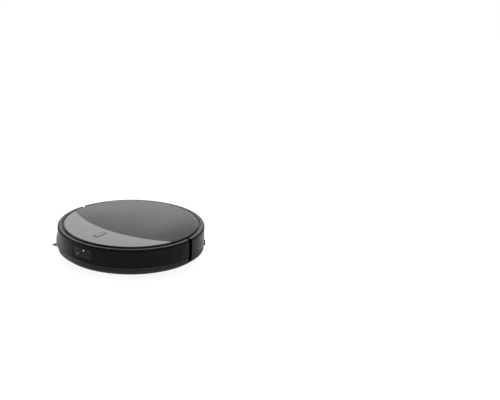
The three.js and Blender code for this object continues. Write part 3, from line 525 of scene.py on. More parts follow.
def bumper():
    """The front shell, with the hole for the window and a slit near each end."""
    piece = revolve("front_bumper", shell_profile(), -BUMPER_END, BUMPER_END, 1)
    outline, mid = window_outline(0)
    boolean(piece, through_wall("window_hole", outline, WINDOW_ANGLE, mid))
    slit_outline = rounded_rectangle(SLIT_WIDTH, SLIT_HEIGHT, 0.8 * MM)
    for angle in (-SLIT_ANGLE, SLIT_ANGLE):
        boolean(piece, facing_out("slit", slit_outline, BODY_RADIUS + 2 * MM, 6 * MM, angle, SLIT_Z))
    soften(piece, SOFT_EDGE)
    dress(piece, SHELL, "bumper", "shell", "bumper")
    paint_shell(piece)


def curved_plate(name, outer, margin):
    """A plate curved like the bumper's wall, cut to the window's outline less a margin."""
    rows = 6
    low, high = WINDOW_LOW.z - 1 * MM, WINDOW_HIGH.z + 1 * MM
    profile = [(outer - 3.2 * MM, low), (outer, low)]
    profile += [(outer, low + (high - low) * i / rows) for i in range(1, rows)]
    profile += [(outer, high), (outer - 3.2 * MM, high)]
    start, end = WINDOW_ANGLE - WINDOW_HALF_ANGLE - 1, WINDOW_ANGLE + WINDOW_HALF_ANGLE + 1
    piece = revolve(name, profile, start, end, 0.5)
    outline, mid = window_outline(margin)
    return boolean(piece, through_wall("keep", outline, WINDOW_ANGLE, mid), "INTERSECT")


def sensor_window():
    """The smoked window, set a little into the bumper, and the matt gasket round its edge."""
    piece = soften(curved_plate("smoked_window", BODY_RADIUS - WINDOW_RECESS, 0.4 * MM), SOFT_EDGE)
    dress(piece, WINDOW, "bumper", "gloss", "sensor_window")
    gasket = curved_plate("window_gasket", BODY_RADIUS - 0.45 * MM, 0.2 * MM)
    outline, mid = window_outline(2.0 * MM)
    boolean(gasket, through_wall("gasket_hole", outline, WINDOW_ANGLE, mid))
    dress(soften(gasket, 0.15 * MM, 2), GASKET_AND_RIM_EDGE_SHADE, "bumper", "rubber")


def rear_shell():
    """The rear shell, with its openings, its outlet slots and the rollers' pins."""
    piece = revolve("rear_skirt", shell_profile(), REAR_START, 360 - REAR_START, 1)
    pins = []
    for side in ("left", "right"):
        low, high, mid = extent(f"guide_roller_{side}")
        width = high.x - low.x + 1.4 * MM
        top = high.z + 0.4 * MM
        outline = rounded_rectangle(width, 2 * (top - FOOT_Z), 2 * MM)
        slot = facing_out("slot", outline, reach_of(mid) + 9 * MM, 20 * MM, angle_of(mid), FOOT_Z)
        boolean(piece, slot)
        contact = middle(f"charge_contact_{side}")
        width, height = CONTACT_WIDTH + 2 * CONTACT_GAP, CONTACT_HEIGHT + 2 * CONTACT_GAP
        outline = rounded_rectangle(width, height, 1.2 * MM)
        angle = angle_of(contact)
        boolean(piece, facing_out("opening", outline, BODY_RADIUS + 3 * MM, 8 * MM, angle, contact.z))
        profile = [(1.5 * MM, low.z + 0.3 * MM), (1.5 * MM, high.z + 1.2 * MM)]
        pins.append(disc_with_edge("pin", profile, 24, (mid.x, mid.y)))
    outline = rounded_rectangle(1.8 * MM, 14 * MM, 0.85 * MM)
    for i in range(VENTS):
        angle = VENT_ANGLE - VENT_STEP * i
        boolean(piece, facing_out("vent", outline, BODY_RADIUS + 2 * MM, 6 * MM, angle, 51 * MM))
    piece = join(piece, *pins)
    soften(piece, SOFT_EDGE)
    dress(piece, SHELL, "robot", "shell", "rear_shell")
    paint_shell(piece)


def trim_ring():
    """The dark ring that shows in the gap round the lid."""
    low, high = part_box("trim_ring")
    outer = high.x - AXIS_X
    inner = outer - 18 * MM
    edge = 0.4 * MM
    profile = [(inner, low.z), (outer - edge, low.z), (outer, low.z + edge), (outer, high.z - edge)]
    profile += [(outer - edge, high.z), (inner, high.z)]
    piece = revolve("lid_trim", profile, step=1)
    dress(smooth(piece), BLACK, "robot", "shell", "trim_ring")


# ---------------------------------------------------------------- top covers


def plate_profile():
    """The edge of the top plate, from its underside up to its flat top, with a rolled outer edge."""
    r, top = LID_RADIUS, LID_Z
    points = [(r - 4 * MM, LID_FOOT_Z), (r - 0.3 * MM, LID_FOOT_Z), (r, LID_FOOT_Z + 0.3 * MM)]
    points += [(r, top - 2.2 * MM)]
    points += [
        (r - 2.9 * MM * (1 - math.cos(t)), top - 2.2 * MM * (1 - math.sin(t)))
        for t in (math.radians(a) for a in range(12, 91, 13))
    ]
    return points


def through_cover(name, outline):
    """An outline raised through the whole of the top cover, as a cutting shape."""
    return prism(name, outline, LID_FOOT_Z - 5 * MM, LID_Z + 5 * MM)


def seam_region(name, offset):
    """Everything behind the seam arc, which is moved outwards by the offset."""
    radius = SEAM_RADIUS + offset
    centre_y = SEAM_APEX_Y - SEAM_HALF_GAP + SEAM_RADIUS
    spread = math.degrees(math.asin((BODY_RADIUS + 10 * MM) / radius))
    outline = arc((AXIS_X, centre_y), radius, 270 - spread, 270 + spread, 120)
    side, back = 200 * MM, 400 * MM # well past the body
    outline += [(AXIS_X + side, back), (AXIS_X - side, back)]
    return through_cover(name, outline)


def pill(length, width, steps=14):
    """The button's outline, long from front to back, with round ends."""
    centre = middle("power_button")
    half = length / 2 - width / 2
    points = arc((centre.x, centre.y + half), width / 2, 0, 180, steps)
    points += arc((centre.x, centre.y - half), width / 2, 180, 360, steps)
    return points


BUTTON_LOW, BUTTON_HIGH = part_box("power_button")
BUTTON_LENGTH = BUTTON_HIGH.y - BUTTON_LOW.y
BUTTON_WIDTH = BUTTON_HIGH.x - BUTTON_LOW.x


def paint_edge(piece):
    """Paints the plate's rolled outer edge dark: painted shade for the dark that the edge reflects."""
    piece.data.materials.append(BEZEL_AND_PLATE_EDGE_SHADE)
    for face in piece.data.polygons:
        if reach_of(face.center) > LID_RADIUS - 2.7 * MM:
            face.material_index = 1


def top_plate(name):
    """The whole round cover, before it is cut along the seam."""
    return disc_with_edge(name, plate_profile(), 360, (AXIS_X, 0.0))


def front_panel():
    """The pale crescent in front of the seam, with the button's hole."""
    piece = top_plate("pale_front_panel")
    boolean(piece, seam_region("seam", SEAM_HALF_GAP))
    outline = pill(BUTTON_LENGTH + 2 * BUTTON_GAP, BUTTON_WIDTH + 2 * BUTTON_GAP)
    boolean(piece, through_cover("button_hole", outline))
    soften(piece, SOFT_EDGE)
    dress(piece, PANEL, "robot", "panel", "front_panel")
    paint_edge(piece)


def top_lid():
    """The lid: all of the cover behind the seam."""
    piece = top_plate("graphite_lid")
    boolean(piece, seam_region("seam", -SEAM_HALF_GAP), "INTERSECT")
    soften(piece, SOFT_EDGE)
    dress(piece, LID, "lid", "lid", "top_lid")
    paint_edge(piece)


def power_button():
    """A slim pill that stands a little proud, with a rounded shoulder and a shallow dish along it."""
    bottom, top = BUTTON_LOW.z, BUTTON_HIGH.z
    insets = [(0, bottom), (0, top - 0.5 * MM), (0.15 * MM, top - 0.05 * MM), (0.6 * MM, top + 0.4 * MM)]
    insets += [(1.2 * MM, top + 0.6 * MM), (1.9 * MM, top + 0.62 * MM), (2.6 * MM, top + 0.5 * MM)]
    insets += [(4 * MM, top + 0.2 * MM), (5.6 * MM, top)]
    rings = []
    for inset, z in insets:
        rings.append([(x, y, z) for x, y in pill(BUTTON_LENGTH - 2 * inset, BUTTON_WIDTH - 2 * inset)])
    piece = smooth(skin("pill_button", rings), 40)
    dress(piece, PANEL, "button", "panel", "power_button")
    piece.data.materials.append(BUTTON_SHOULDER_SHADE)
    # Painted shade: the six lowest bands are painted dark.
    shoulder = 6 * len(rings[0]) # the faces of the six lowest bands, which are darker
    for face in piece.data.polygons[:shoulder]:
        face.material_index = 1


# ---------------------------------------------------------------- sensors on the window


def on_window(name, outline, proud, angle, z, depth=1.2 * MM):
    """An outline that stands a little proud of the window."""
    return facing_out(name, outline, BODY_RADIUS - WINDOW_RECESS + proud, depth, angle, z)


def circle(radius, steps=40):
    """A whole circle about the origin."""
    return arc((0.0, 0.0), radius, 0, 360 - 360 / steps, steps - 1)


def lens_dome(name, radius, proud, height, angle, z):
    """A round glass front that swells out of the window."""
    rings = [[(x, y, -1 * MM) for x, y in circle(radius)]]
    for share in (1, 0.97, 0.88, 0.7, 0.45, 0.2):
        lift = height * math.sqrt(1 - share * share)
        rings.append([(share * x, share * y, lift) for x, y in circle(radius)])
    piece = skin(name, rings)
    piece.data.transform(wall_place(BODY_RADIUS - WINDOW_RECESS + proud, angle, z))
    return smooth(piece, 50)


def window_fittings():
    """Two lenses in their bezels, the status light's guide, and the emitter strip with its painted glow.
    """
    camera_z, distance_z = 61 * MM, 61.6 * MM
    bezel = on_window("camera_bezel", circle(5.4 * MM), 0.35 * MM, CAMERA_ANGLE, camera_z)
    boolean(bezel, on_window("hole", circle(4.3 * MM), 1 * MM, CAMERA_ANGLE, camera_z, 4 * MM))
    dress(soften(bezel, 0.15 * MM, 2), BEZEL_AND_PLATE_EDGE_SHADE, "bumper", "gloss")
    glass = lens_dome("camera_glass", 4.2 * MM, 0.0, 0.7 * MM, CAMERA_ANGLE, camera_z)
    dress(glass, LENS, "bumper", "gloss")
    glass = lens_dome("distance_glass", 2.1 * MM, 0.05 * MM, 0.35 * MM, DISTANCE_ANGLE, distance_z)
    dress(glass, LENS, "bumper", "gloss")
    bezel = on_window("distance_bezel", circle(2.7 * MM), 0.2 * MM, DISTANCE_ANGLE, distance_z)
    boolean(bezel, on_window("hole", circle(2.15 * MM), 1 * MM, DISTANCE_ANGLE, distance_z, 4 * MM))
    dress(soften(bezel, 0.1 * MM, 2), BEZEL_AND_PLATE_EDGE_SHADE, "bumper", "gloss")
    outline = rounded_rectangle(1.4 * MM, 4 * MM, 0.65 * MM)
    strip = on_window("status_strip", outline, 0.15 * MM, LIGHT_ANGLE, 62 * MM)
    dress(soften(strip, 0.1 * MM, 2), LIGHT, "bumper", "white")
    outline = rounded_rectangle(5.2 * MM, 1.5 * MM, 0.7 * MM)
    # Painted light: this strip glows though it gives no visible light.
    strip = on_window("emitter_strip", outline, 0.15 * MM, DISTANCE_ANGLE, 51 * MM)
    dress(soften(strip, 0.1 * MM, 2), EMITTER_PAINTED_GLOW, "bumper", "white")


def side_sensor_cover():
    """The smooth bulge over the wall sensor, swelling in plan and rolled off above and below."""
    low, high = (corner.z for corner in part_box("side_sensor_cover"))
    inner, depth = BODY_RADIUS - 0.6 * MM, 4 * MM
    across, up = 44, 18
    columns = []
    for i in range(across + 1):
        share = i / across
        swell = math.sin(math.pi * share) ** 0.9 if 0 < share < 1 else 0.0
        angle = BULGE_START + (BULGE_END - BULGE_START) * share
        outside, inside = [], []
        for j in range(up + 1):
            rise = j / up
            crown = math.sin(math.pi * rise ** 0.85) ** 0.7 if 0 < rise < 1 else 0.0
            z = low + (high - low) * rise
            outside.append(polar(inner + 0.05 * MM + depth * swell * crown, angle, z))
            inside.append(polar(inner - 0.3 * MM, angle, z))
        columns.append(outside + inside[::-1])
    piece = smooth(lathe("wall_sensor_bulge", columns, full=False), 50)
    dress(piece, SHELL, "bumper", "black_plastic", "side_sensor_cover")


bumper()
sensor_window()
window_fittings()
side_sensor_cover()
rear_shell()
trim_ring()
front_panel()
top_lid()
power_button()

# ---------------------------------------------------------------- turning parts and underside

ALONG_X = Matrix.Rotation(math.radians(90), 4, "Y")


def placed(piece, place, turn=None):
    """Moves a mesh drawn about the origin's Z axis to its place."""
    piece.data.transform(Matrix.Translation(place) @ (turn or Matrix.Identity(4)))
    return piece


def tube(name, points, radius, sides=8):
    """A round wire along a list of points, with capped ends."""
    rings, across = [], None
    for i, point in enumerate(points):
        before, after = points[max(0, i - 1)], points[min(len(points) - 1, i + 1)]
        ahead = (after - before).normalized()
        if across is None:
            across = ahead.orthogonal().normalized()
        else:
            across = (across - ahead * across.dot(ahead)).normalized()
        up = ahead.cross(across)
        rings.append([
            point + (across * math.cos(t) + up * math.sin(t)) * radius
            for t in (2 * math.pi * k / sides for k in range(sides))
        ])
    return smooth(skin(name, rings), 60)


def coil(name, centre, direction, radius, length, turns, wire):
    """A spring: a helix of wire round a line, with a flat turn at each end."""
    ahead = direction.normalized()
    across = ahead.orthogonal().normalized()
    up = ahead.cross(across)
    points = []
    steps = int((turns + 2) * 20)
    inner = length - 2 * wire
    for i in range(steps + 1):
        spin = 2 * math.pi * (turns + 2) * i / steps
        share = min(1.0, max(0.0, ((turns + 2) * i / steps - 1) / turns))
        along = wire - length / 2 + inner * share
        out = across * math.cos(spin) + up * math.sin(spin)
        points.append(centre + ahead * along + out * (radius - wire))
    return tube(name, points, wire, 6)


def wheel(side):
    """A tyre with staggered blocks, and a hub with a ring of pockets."""
    node = f"wheel_tyre_{side}"
    low, high, centre = extent(node)
    radius, half = (high.z - low.z) / 2, (high.x - low.x) / 2
    inner = radius - 7 * MM
    steps, lug = 216, 9 # a raised block and its groove take nine steps
    columns = []
    widths = [-1, -0.8, -0.55, -0.3, -0.1, 0.1, 0.3, 0.55, 0.8, 1]
    for i in range(steps):
        turn = 2 * math.pi * i / steps
        section = [(inner, -half + 1 * MM), (radius - 3.4 * MM, -half)]
        section += [(radius - 2 * MM, -half + 0.2 * MM)]
        for w in widths:
            lean = round(5 * abs(w))
            raised = (i + lean) % lug < 6
            crown = 0.9 * MM * w ** 4
            section.append((radius - crown - (0 if raised else 1.7 * MM), w * (half - 0.6 * MM)))
        section += [(radius - 2 * MM, half - 0.2 * MM)]
        section += [(radius - 3.4 * MM, half), (inner, half - 1 * MM)]
        columns.append([(r * math.cos(turn), r * math.sin(turn), z) for r, z in section])
    tyre = smooth(placed(lathe(f"treaded_tyre_{side}", columns), centre, ALONG_X), 28)
    dress(tyre, RUBBER, f"wheel_{side}", "rubber", node)
    outward = 1 if side == "left" else -1
    rim = inner - 0.3 * MM
    deep = half - 1.5 * MM
    profile = [
        (HAIR, -deep), (rim - 1 * MM, -deep), (rim, -deep + 1 * MM), (rim, deep - 1 * MM),
        (rim - 0.8 * MM, deep), (rim - 2.6 * MM, deep), (rim - 3.4 * MM, deep - 1 * MM),
        (rim - 4.5 * MM, deep - 3 * MM), (11 * MM, deep - 3.6 * MM), (9.5 * MM, deep - 2.2 * MM),
        (8.5 * MM, deep - 0.6 * MM), (7 * MM, deep - 0.2 * MM), (3.4 * MM, deep - 0.2 * MM),
        (3 * MM, deep - 1.2 * MM), (HAIR, deep - 1.2 * MM),
    ]
    hub = turned(f"spoked_hub_{side}", profile, 72)
    pockets, reach = 6, 16.5 * MM
    for i in range(pockets):
        pocket = turned("pocket", [(HAIR, 0), (2.6 * MM, 0), (2.9 * MM, 8 * MM), (HAIR, 8 * MM)], 20)
        turn = 2 * math.pi * i / pockets
        placed(pocket, Vector((reach * math.cos(turn), reach * math.sin(turn), deep - 6 * MM)))
        boolean(hub, pocket)
    facing = Matrix.Rotation(math.radians(90 * outward), 4, "Y")
    soften(placed(hub, centre, facing), 0.25 * MM, 2)
    dress(hub, GREY, f"wheel_{side}", "grey_plastic", f"wheel_hub_{side}")


def main_brush():
    """A rubber core with chevron fins, every second one a row of bristles, on an axle."""
    low, high, centre = extent("main_brush")
    radius = (high.z - low.z) / 2
    half, core, fins = 76 * MM, 11.5 * MM, 6
    chevron = 1.15 # how far a fin turns from the middle to its end, in radians
    around, along = 156, 76
    span = around // fins
    rings = []
    for j in range(along + 1):
        share = -1 + 2 * j / along
        twist = chevron * abs(share)
        ring = []
        for i in range(around):
            place = i % span
            height = 1.0 if place in (0, 1, 2) else (0.3 if place in (3, span - 1) else 0.0)
            comb = 0.1 * (j % 2) if (i // span) % 2 else 0.0
            r = core + (radius - core) * max(0.0, height - comb * height)
            turn = 2 * math.pi * i / around + twist
            ring.append((r * math.cos(turn), r * math.sin(turn), half * share))
        rings.append(ring)
    roller = smooth(placed(skin("chevron_brush", rings), centre, ALONG_X), 40)
    dress(roller, RUBBER, "main_brush", "rubber", "main_brush")
    roller.data.materials.append(TUFT)
    for face in roller.data.polygons:
        arm = Vector((0, face.center.y - centre.y, face.center.z - centre.z))
        if arm.length > core + 2 * MM and abs(face.center.x - centre.x) < half - 0.5 * MM:
            share = abs(face.center.x - centre.x) / half
            turn = (math.atan2(arm.y, -arm.z) - chevron * share) % (2 * math.pi)
            if int(turn / (2 * math.pi) * fins + 0.3) % 2:
                face.material_index = 1
    sleeve, pin = core + 1 * MM, 4 * MM
    end, shoulder = (high.x - low.x) / 2, half + 0.2 * MM
    profile = [(HAIR, -end), (pin - 0.4 * MM, -end), (pin, -end + 0.6 * MM), (pin, -shoulder)]
    profile += [(sleeve, -shoulder), (sleeve, -half + 2 * MM), (sleeve, half - 2 * MM)]
    profile += [(sleeve, shoulder), (pin, shoulder), (pin, end - 0.6 * MM), (pin - 0.4 * MM, end)]
    profile += [(HAIR, end)]
    axle = smooth(placed(turned("brush_axle", profile, 40), centre, ALONG_X), 35)
    dress(axle, GREY, "main_brush", "rubber")


def bristle_fan(name, root, spread, reach, lean, drop, count, thick):
    """Two layers of thin bristles, from a short line at the root to a wide cut end."""
    bm = bmesh.new()
    for layer in (0, 1):
        for i in range(count):
            share = -1 + 2 * (i + 0.5 * layer) / (count - 0.5)
            start = root + Vector((0, share * spread[0], (0.5 - layer) * 0.9 * MM))
            uneven = 0.6 * MM * math.sin(9 * i)
            end = root + Vector((-reach - lean * share, share * spread[1] + uneven, -drop))
            end.z += (0.5 - layer) * 0.7 * MM
            bend = start.lerp(end, 0.5) + Vector((0, 0, 0.6 * MM))
            rows = []
            for place, width in ((start, thick), (bend, thick), (end, thick * 0.75)):
                rows.append([
                    bm.verts.new(place + Vector((0, width * math.cos(t), width * math.sin(t))))
                    for t in (0, 2.1, 4.2)
                ])
            for low, high in zip(rows, rows[1:]):
                for k in range(3):
                    n = (k + 1) % 3
                    bm.faces.new((low[n], low[k], high[k], high[n]))
            bm.faces.new(rows[0])
            bm.faces.new(reversed(rows[-1]))
    return from_bmesh(name, bm)


def cross_screw(name, radius, place):
    """A screw head that faces down, with a cross slot. The place is the middle of its lowest face."""
    bevel = 0.35 * MM
    head = disc_with_edge(name, [(radius - 0.6 * MM, 0), (radius, bevel), (radius, 1.2 * MM)], 28)
    long, thin = 1.1 * radius, 0.22 * radius
    for size in ((long, thin), (thin, long)):
        boolean(head, prism("slot", rounded_rectangle(*size, 0.2 * thin, 2), -1 * MM, 0.7 * MM))
    return smooth(placed(head, place), 30)


def side_brush():
    """A hub with its screw, and two arms that each hold a fan of bristles."""
    low, high, centre = extent("side_brush_hub")
    bottom, top = low.z, high.z
    radius = (high.x - low.x) / 2
    bore, neck, shoulder = 2.2 * MM, 5 * MM, 10.7 * MM
    profile = [(bore, bottom + 1.2 * MM), (4 * MM, bottom + 1.2 * MM), (4.6 * MM, bottom)]
    profile += [(radius - 5 * MM, bottom), (radius - 2 * MM, bottom + 0.9 * MM)]
    profile += [(radius, bottom + 3 * MM), (radius, shoulder - 0.3 * MM)]
    profile += [(radius - 0.4 * MM, shoulder), (neck, shoulder), (neck, top), (bore, top)]
    axis = Vector((centre.x, centre.y, 0))
    hub = smooth(placed(turned("brush_hub", profile, 72), axis), 30)
    dress(hub, GREY, "side_brush", "grey_plastic", "side_brush_hub")
    screw = cross_screw("hub_screw", 2.1 * MM, Vector((centre.x, centre.y, bottom + 0.7 * MM)))
    dress(screw, STEEL, "side_brush", "steel")
    sweep = Matrix.Rotation(math.radians(-9), 4, "Z") # the bristles trail a little
    for name, half_turn in (("outer", 0), ("inner", 180)):
        turn = Matrix.Rotation(math.radians(half_turn), 4, "Z")
        rows = []
        for share in (0, 0.1, 0.3, 0.55, 0.8, 0.93, 1):
            reach = radius - 1.5 * MM + 17 * MM * share
            wide = (5.4 - 1.6 * share) * MM * (0.75 if share == 1 else 1)
            thick = (1.9 - 0.7 * share) * MM * (0.75 if share == 1 else 1)
            z = 7.2 * MM - 2.2 * MM * share
            turns = [2 * math.pi * k / 16 for k in reversed(range(16))]
            rows.append([(-reach, wide * math.cos(t), z + thick * math.sin(t)) for t in turns])
        arm = smooth(skin(f"tuft_arm_{name}", rows), 50)
        dress(placed(arm, axis, turn), RUBBER, "side_brush", "rubber")
        fan = bristle_fan(
            f"bristles_{name}", root=Vector((-29 * MM, 0, 5.6 * MM)), spread=(3.2 * MM, 7.9 * MM),
            reach=55.6 * MM, lean=2.6 * MM, drop=4.6 * MM, count=42, thick=0.36 * MM,
        )
        dress(placed(fan, axis, turn @ sweep), TUFT, "side_brush", "tuft", f"side_brush_tuft_{name}")


def guide_rollers():
    """Small upright rollers with three grooves."""
    for side in ("left", "right"):
        node = f"guide_roller_{side}"
        low, high, centre = extent(node)
        r, h = (high.x - low.x) / 2, high.z - low.z
        bore, groove = 1.8 * MM, r - 0.6 * MM
        profile = [(bore, 0), (r - 1 * MM, 0), (r, 1 * MM)]
        for i in range(3):
            z = h * (0.25 + 0.25 * i)
            profile += [(r, z - 0.8 * MM), (groove, z - 0.3 * MM)]
            profile += [(groove, z + 0.3 * MM), (r, z + 0.8 * MM)]
        profile += [(r, h - 1 * MM), (r - 1 * MM, h), (bore, h)]
        roller = turned(f"ribbed_roller_{side}", profile, 48)
        placed(roller, Vector((centre.x, centre.y, low.z)))
        dress(smooth(roller, 30), RUBBER, f"roller_{side}", "rubber", node)


def mops():
    """Round cloth pads with a looped face and a soft rolled edge, on plates with a ring of ribs."""
    for side in ("left", "right"):
        node = f"mop_pad_{side}"
        low, high, centre = extent(node)
        radius = (high.x - low.x) / 2
        bottom, top = low.z, high.z
        steps = 150
        rings = []
        section = [(0.12, 0), (0.3, 0), (0.5, 0), (0.7, 0), (0.86, 0), (0.95, 0.02), (0.985, 0.16)]
        section += [(1, 0.4), (1, 0.65), (0.985, 0.86), (0.95, 1), (0.7, 1), (0.4, 1), (0.12, 1)]
        for share, rise in section:
            ring = []
            for i in range(steps):
                turn = 2 * math.pi * i / steps
                ripple = 0.35 * MM * math.sin(31 * turn) * math.sin(17 * turn + 40 * share)
                r = radius * share * (1 - 0.006 * (1 + math.sin(23 * turn)) * (share > 0.9))
                z = bottom + (top - bottom) * rise
                z += abs(ripple) if rise < 0.5 else -abs(ripple) * (rise > 0.8)
                ring.append((centre.x + r * math.cos(turn), centre.y + r * math.sin(turn), z))
            rings.append(ring)
        pad = smooth(skin(f"looped_pad_{side}", rings), 60)
        dress(pad, MOP, f"mop_{side}", "mop_cloth", node)
        node = f"mop_plate_{side}"
        low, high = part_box(node)
        r, base, face = (high.x - low.x) / 2, low.z, high.z
        eye, edge = 7.3 * MM, 0.5 * MM
        profile = [(eye, base), (r - edge, base), (r, base + edge), (r, face - edge), (r - edge, face)]
        for i in range(3):
            at, floor = r - (9 + 12 * i) * MM, face - 0.8 * MM
            profile += [(at, face), (at - 0.7 * MM, floor)]
            profile += [(at - 2.2 * MM, floor), (at - 2.9 * MM, face)]
        profile += [(9 * MM, face), (eye, face - 0.4 * MM)]
        plate = turned(f"ribbed_plate_{side}", profile, 120)
        placed(plate, Vector((centre.x, centre.y, 0)))
        core = disc_with_edge("core", [(eye, base), (eye, face - 0.4 * MM)], 48, centre.xy)
        dress(smooth(join(plate, core), 30), BLACK, f"mop_{side}", "black_plastic", node)


def springs():
    """The bumper's return springs, and the springs on the suspension's pivots."""
    for side in ("left", "right"):
        node = f"bumper_spring_{side}"
        low, high, centre = extent(node)
        length = high.y - low.y - BUMPER_TRAVEL - 0.2 * MM # pressed, to clear the bumper's travel
        centre.y = high.y - length / 2
        radius = (high.x - low.x) / 2
        spring = coil(f"return_coil_{side}", centre, Vector((0, 1, 0)), radius, length, 1.5, 0.3 * MM)
        dress(spring, STEEL, "robot", "steel", node)
        node = f"suspension_spring_{side}"
        low, high, centre = extent(node)
        radius, length = (high.z - low.z) / 2, high.x - low.x
        spring = coil(f"torsion_coil_{side}", centre, Vector((1, 0, 0)), radius, length, 3, 0.7 * MM)
        dress(spring, STEEL, "robot", "steel", node)


def contacts():
    """Two plated charging contacts in their openings in the rear shell."""
    for side in ("left", "right"):
        node = f"charge_contact_{side}"
        centre = middle(node)
        outline = rounded_rectangle(CONTACT_WIDTH, CONTACT_HEIGHT, 1 * MM)
        face = BODY_RADIUS - CONTACT_GAP
        plate = facing_out(f"contact_plate_{side}", outline, face, 1.8 * MM, angle_of(centre), centre.z)
        dress(soften(plate, 0.35 * MM), CONTACT, "robot", "contact", node)


def filter_block():
    """Pleats that stand upright across the filter."""
    low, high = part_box("dust_filter")
    count = 30
    outline = [(low.x, low.y), (high.x, low.y)]
    for i in range(count + 1):
        x = high.x - (high.x - low.x) * i / count
        outline.append((x, high.y - (0.2 * MM if i % 2 else 1.1 * MM)))
    pleats = prism("pleated_filter", outline, low.z, high.z)
    dress(pleats, FILTER, "bin", "white", "dust_filter")


def screws():
    """Cross-headed screws sunk a little into the underside."""
    places = [(-70, -128), (70, -128), (-150, -40), (150, -40), (-146, 62), (146, 62), (0, 150), (0, 30)]
    for i, (x, y) in enumerate(places):
        place = Vector((AXIS_X + x * MM, y * MM, BASE_Z - 0.15 * MM))
        dress(cross_screw(f"base_screw_{i}", 3.2 * MM, place), STEEL, "robot", "steel")


for wheel_side in ("left", "right"):
    wheel(wheel_side)
main_brush()
side_brush()
guide_rollers()
mops()
springs()
contacts()
filter_block()
screws()

# ---------------------------------------------------------------- the nodes that stay as they are

NODE_MATERIALS = {
    BLACK: ["chassis_base", "upper_frame", "bumper_switch_left", "bumper_switch_right", "brush_chamber",
            "battery_cover", "suspension_arm_left", "suspension_arm_right"],
    GREY: ["main_brush_gearbox", "side_brush_gearbox", "main_brush_cover", "caster_fork",
           "mop_motor_left", "mop_motor_right", "fan_housing"],
    WINDOW: ["camera_module", "distance_sensor", "cliff_sensor_front_left", "cliff_sensor_front_right",
             "cliff_sensor_left", "cliff_sensor_right"],
    SMOKE: ["dust_bin", "water_tank"],
    RUBBER: ["caster_wheel"],
    STEEL: ["mop_spindle_left", "mop_spindle_right"],
    BOARD: ["main_board"],
    WRAP: ["battery"],
    WHITE: ["fan_impeller", "status_light"],
}


def finish_nodes():
    """Rounds the kept nodes' edges a little and gives them their materials."""
    for material, names in NODE_MATERIALS.items():
        for name in names:
            node = frame["nodes"][name]
            node.data.materials.clear()
            node.data.materials.append(material)
            node.data.shade_smooth()
            weld = node.modifiers.new("weld", "WELD")
            weld.merge_threshold = 0.01 * MM
            edges = node.modifiers.new("edges", "BEVEL")
            edges.width = SOFT_EDGE
            edges.segments = 2
            edges.limit_method = "ANGLE"
            edges.angle_limit = math.radians(35)
            normals = node.modifiers.new("normals", "WEIGHTED_NORMAL")
            normals.weight = 100


finish_nodes()

# ---------------------------------------------------------------- stage, light and camera


FLOOR_GREY = (0.22, 0.22, 0.22, 1)
FLOOR_GLOW = 0.9
WORLD_LIGHT, WORLD_SEEN = 0.5, 1.0


def seen_share(tree):
    """One for camera, mirror and see-through rays, nothing for the light that falls on the object."""
    path = tree.nodes.new("ShaderNodeLightPath").outputs
    first = add_node(tree, "Math", {}, {0: path["Is Camera Ray"], 1: path["Is Glossy Ray"]})
    second = add_node(tree, "Math", {}, {0: first.outputs[0], 1: path["Is Transmission Ray"]})
    second.use_clamp = True
    return second.outputs[0]


def stage():
    """A white floor. It glows only for rays that see it, so that the object's shadow stays on it."""
    bm = bmesh.new()
    bmesh.ops.create_grid(bm, x_segments=1, y_segments=1, size=8)
    floor = from_bmesh("floor", bm)
    floor.location.z = cad_box[0][2] - 0.05 * MM
    material, tree, shader = new_material("floor_white", {
        "Base Color": FLOOR_GREY, "Roughness": 1, "Specular IOR Level": 0, "Emission Color": (1, 1, 1, 1),
    })
    vary(tree, shader, "Emission Strength", seen_share(tree), 0, FLOOR_GLOW)
    floor.data.materials.append(material)


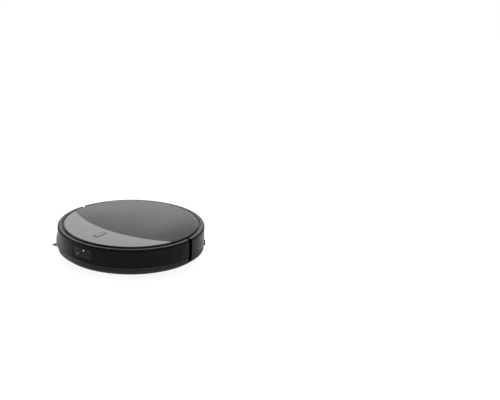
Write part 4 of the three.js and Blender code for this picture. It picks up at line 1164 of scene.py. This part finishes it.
def area_light(name, place, target, size, power):
    """A rectangular lamp that faces its target."""
    data = bpy.data.lights.new(name, "AREA")
    data.shape = "RECTANGLE"
    data.size, data.size_y = size
    data.energy = power
    lamp = bpy.data.objects.new(name, data)
    bpy.context.scene.collection.objects.link(lamp)
    lamp.location = place
    lamp.rotation_mode = "QUATERNION"
    lamp.rotation_quaternion = (Vector(target) - Vector(place)).to_track_quat("-Z", "Y")


def lights():
    """A plain white world and four soft lamps."""
    world = bpy.data.worlds.new("studio")
    bpy.context.scene.world = world
    world.use_nodes = True
    tree = world.node_tree
    background = tree.nodes["Background"]
    background.inputs["Color"].default_value = (1, 1, 1, 1)
    vary(tree, background, "Strength", seen_share(tree), WORLD_LIGHT, WORLD_SEEN)
    area_light("key", (-0.5, 1.25, 1.9), (0, 0, 0), (1.4, 1.4), 20)
    area_light("fill", (1.6, -0.4, 1.2), (0, 0, 0), (1.0, 1.0), 8)
    area_light("back", (-1.15, 1.25, 0.56), (0, 0, 0.08), (1.5, 0.3), 7)
    area_light("side", (-1.3, -0.75, 0.2), (0, 0, 0.05), (0.9, 0.35), 9)


CAMERA_AZIMUTH = 42.5
CAMERA_ELEVATION = 21.1
CAMERA_DISTANCE = 3.0
CAMERA_LENS = 89.42
LOOK_RIGHT = 5.782 # how far the camera looks to the right of the robot
LOOK_DOWN = 19.265 # below the horizon
CAMERA_ROLL = 1.889


def camera():
    """The camera, turned a little away from the robot's middle."""
    data = bpy.data.cameras.new("camera")
    data.lens = CAMERA_LENS
    piece = bpy.data.objects.new("camera", data)
    bpy.context.scene.collection.objects.link(piece)
    around, above = math.radians(CAMERA_AZIMUTH), math.radians(CAMERA_ELEVATION)
    flat = math.cos(above)
    away = Vector((math.sin(around) * flat, -math.cos(around) * flat, math.sin(above)))
    place = Matrix.Translation(Vector((AXIS_X, 0, 40 * MM)) + away * CAMERA_DISTANCE)
    turn = Matrix.Rotation(around - math.radians(LOOK_RIGHT), 4, "Z")
    tilt = Matrix.Rotation(math.radians(90 - LOOK_DOWN), 4, "X")
    piece.matrix_world = place @ turn @ tilt @ Matrix.Rotation(math.radians(CAMERA_ROLL), 4, "Z")
    bpy.context.scene.camera = piece


stage()
lights()
camera()
bpy.context.scene.view_settings.view_transform = "Standard"
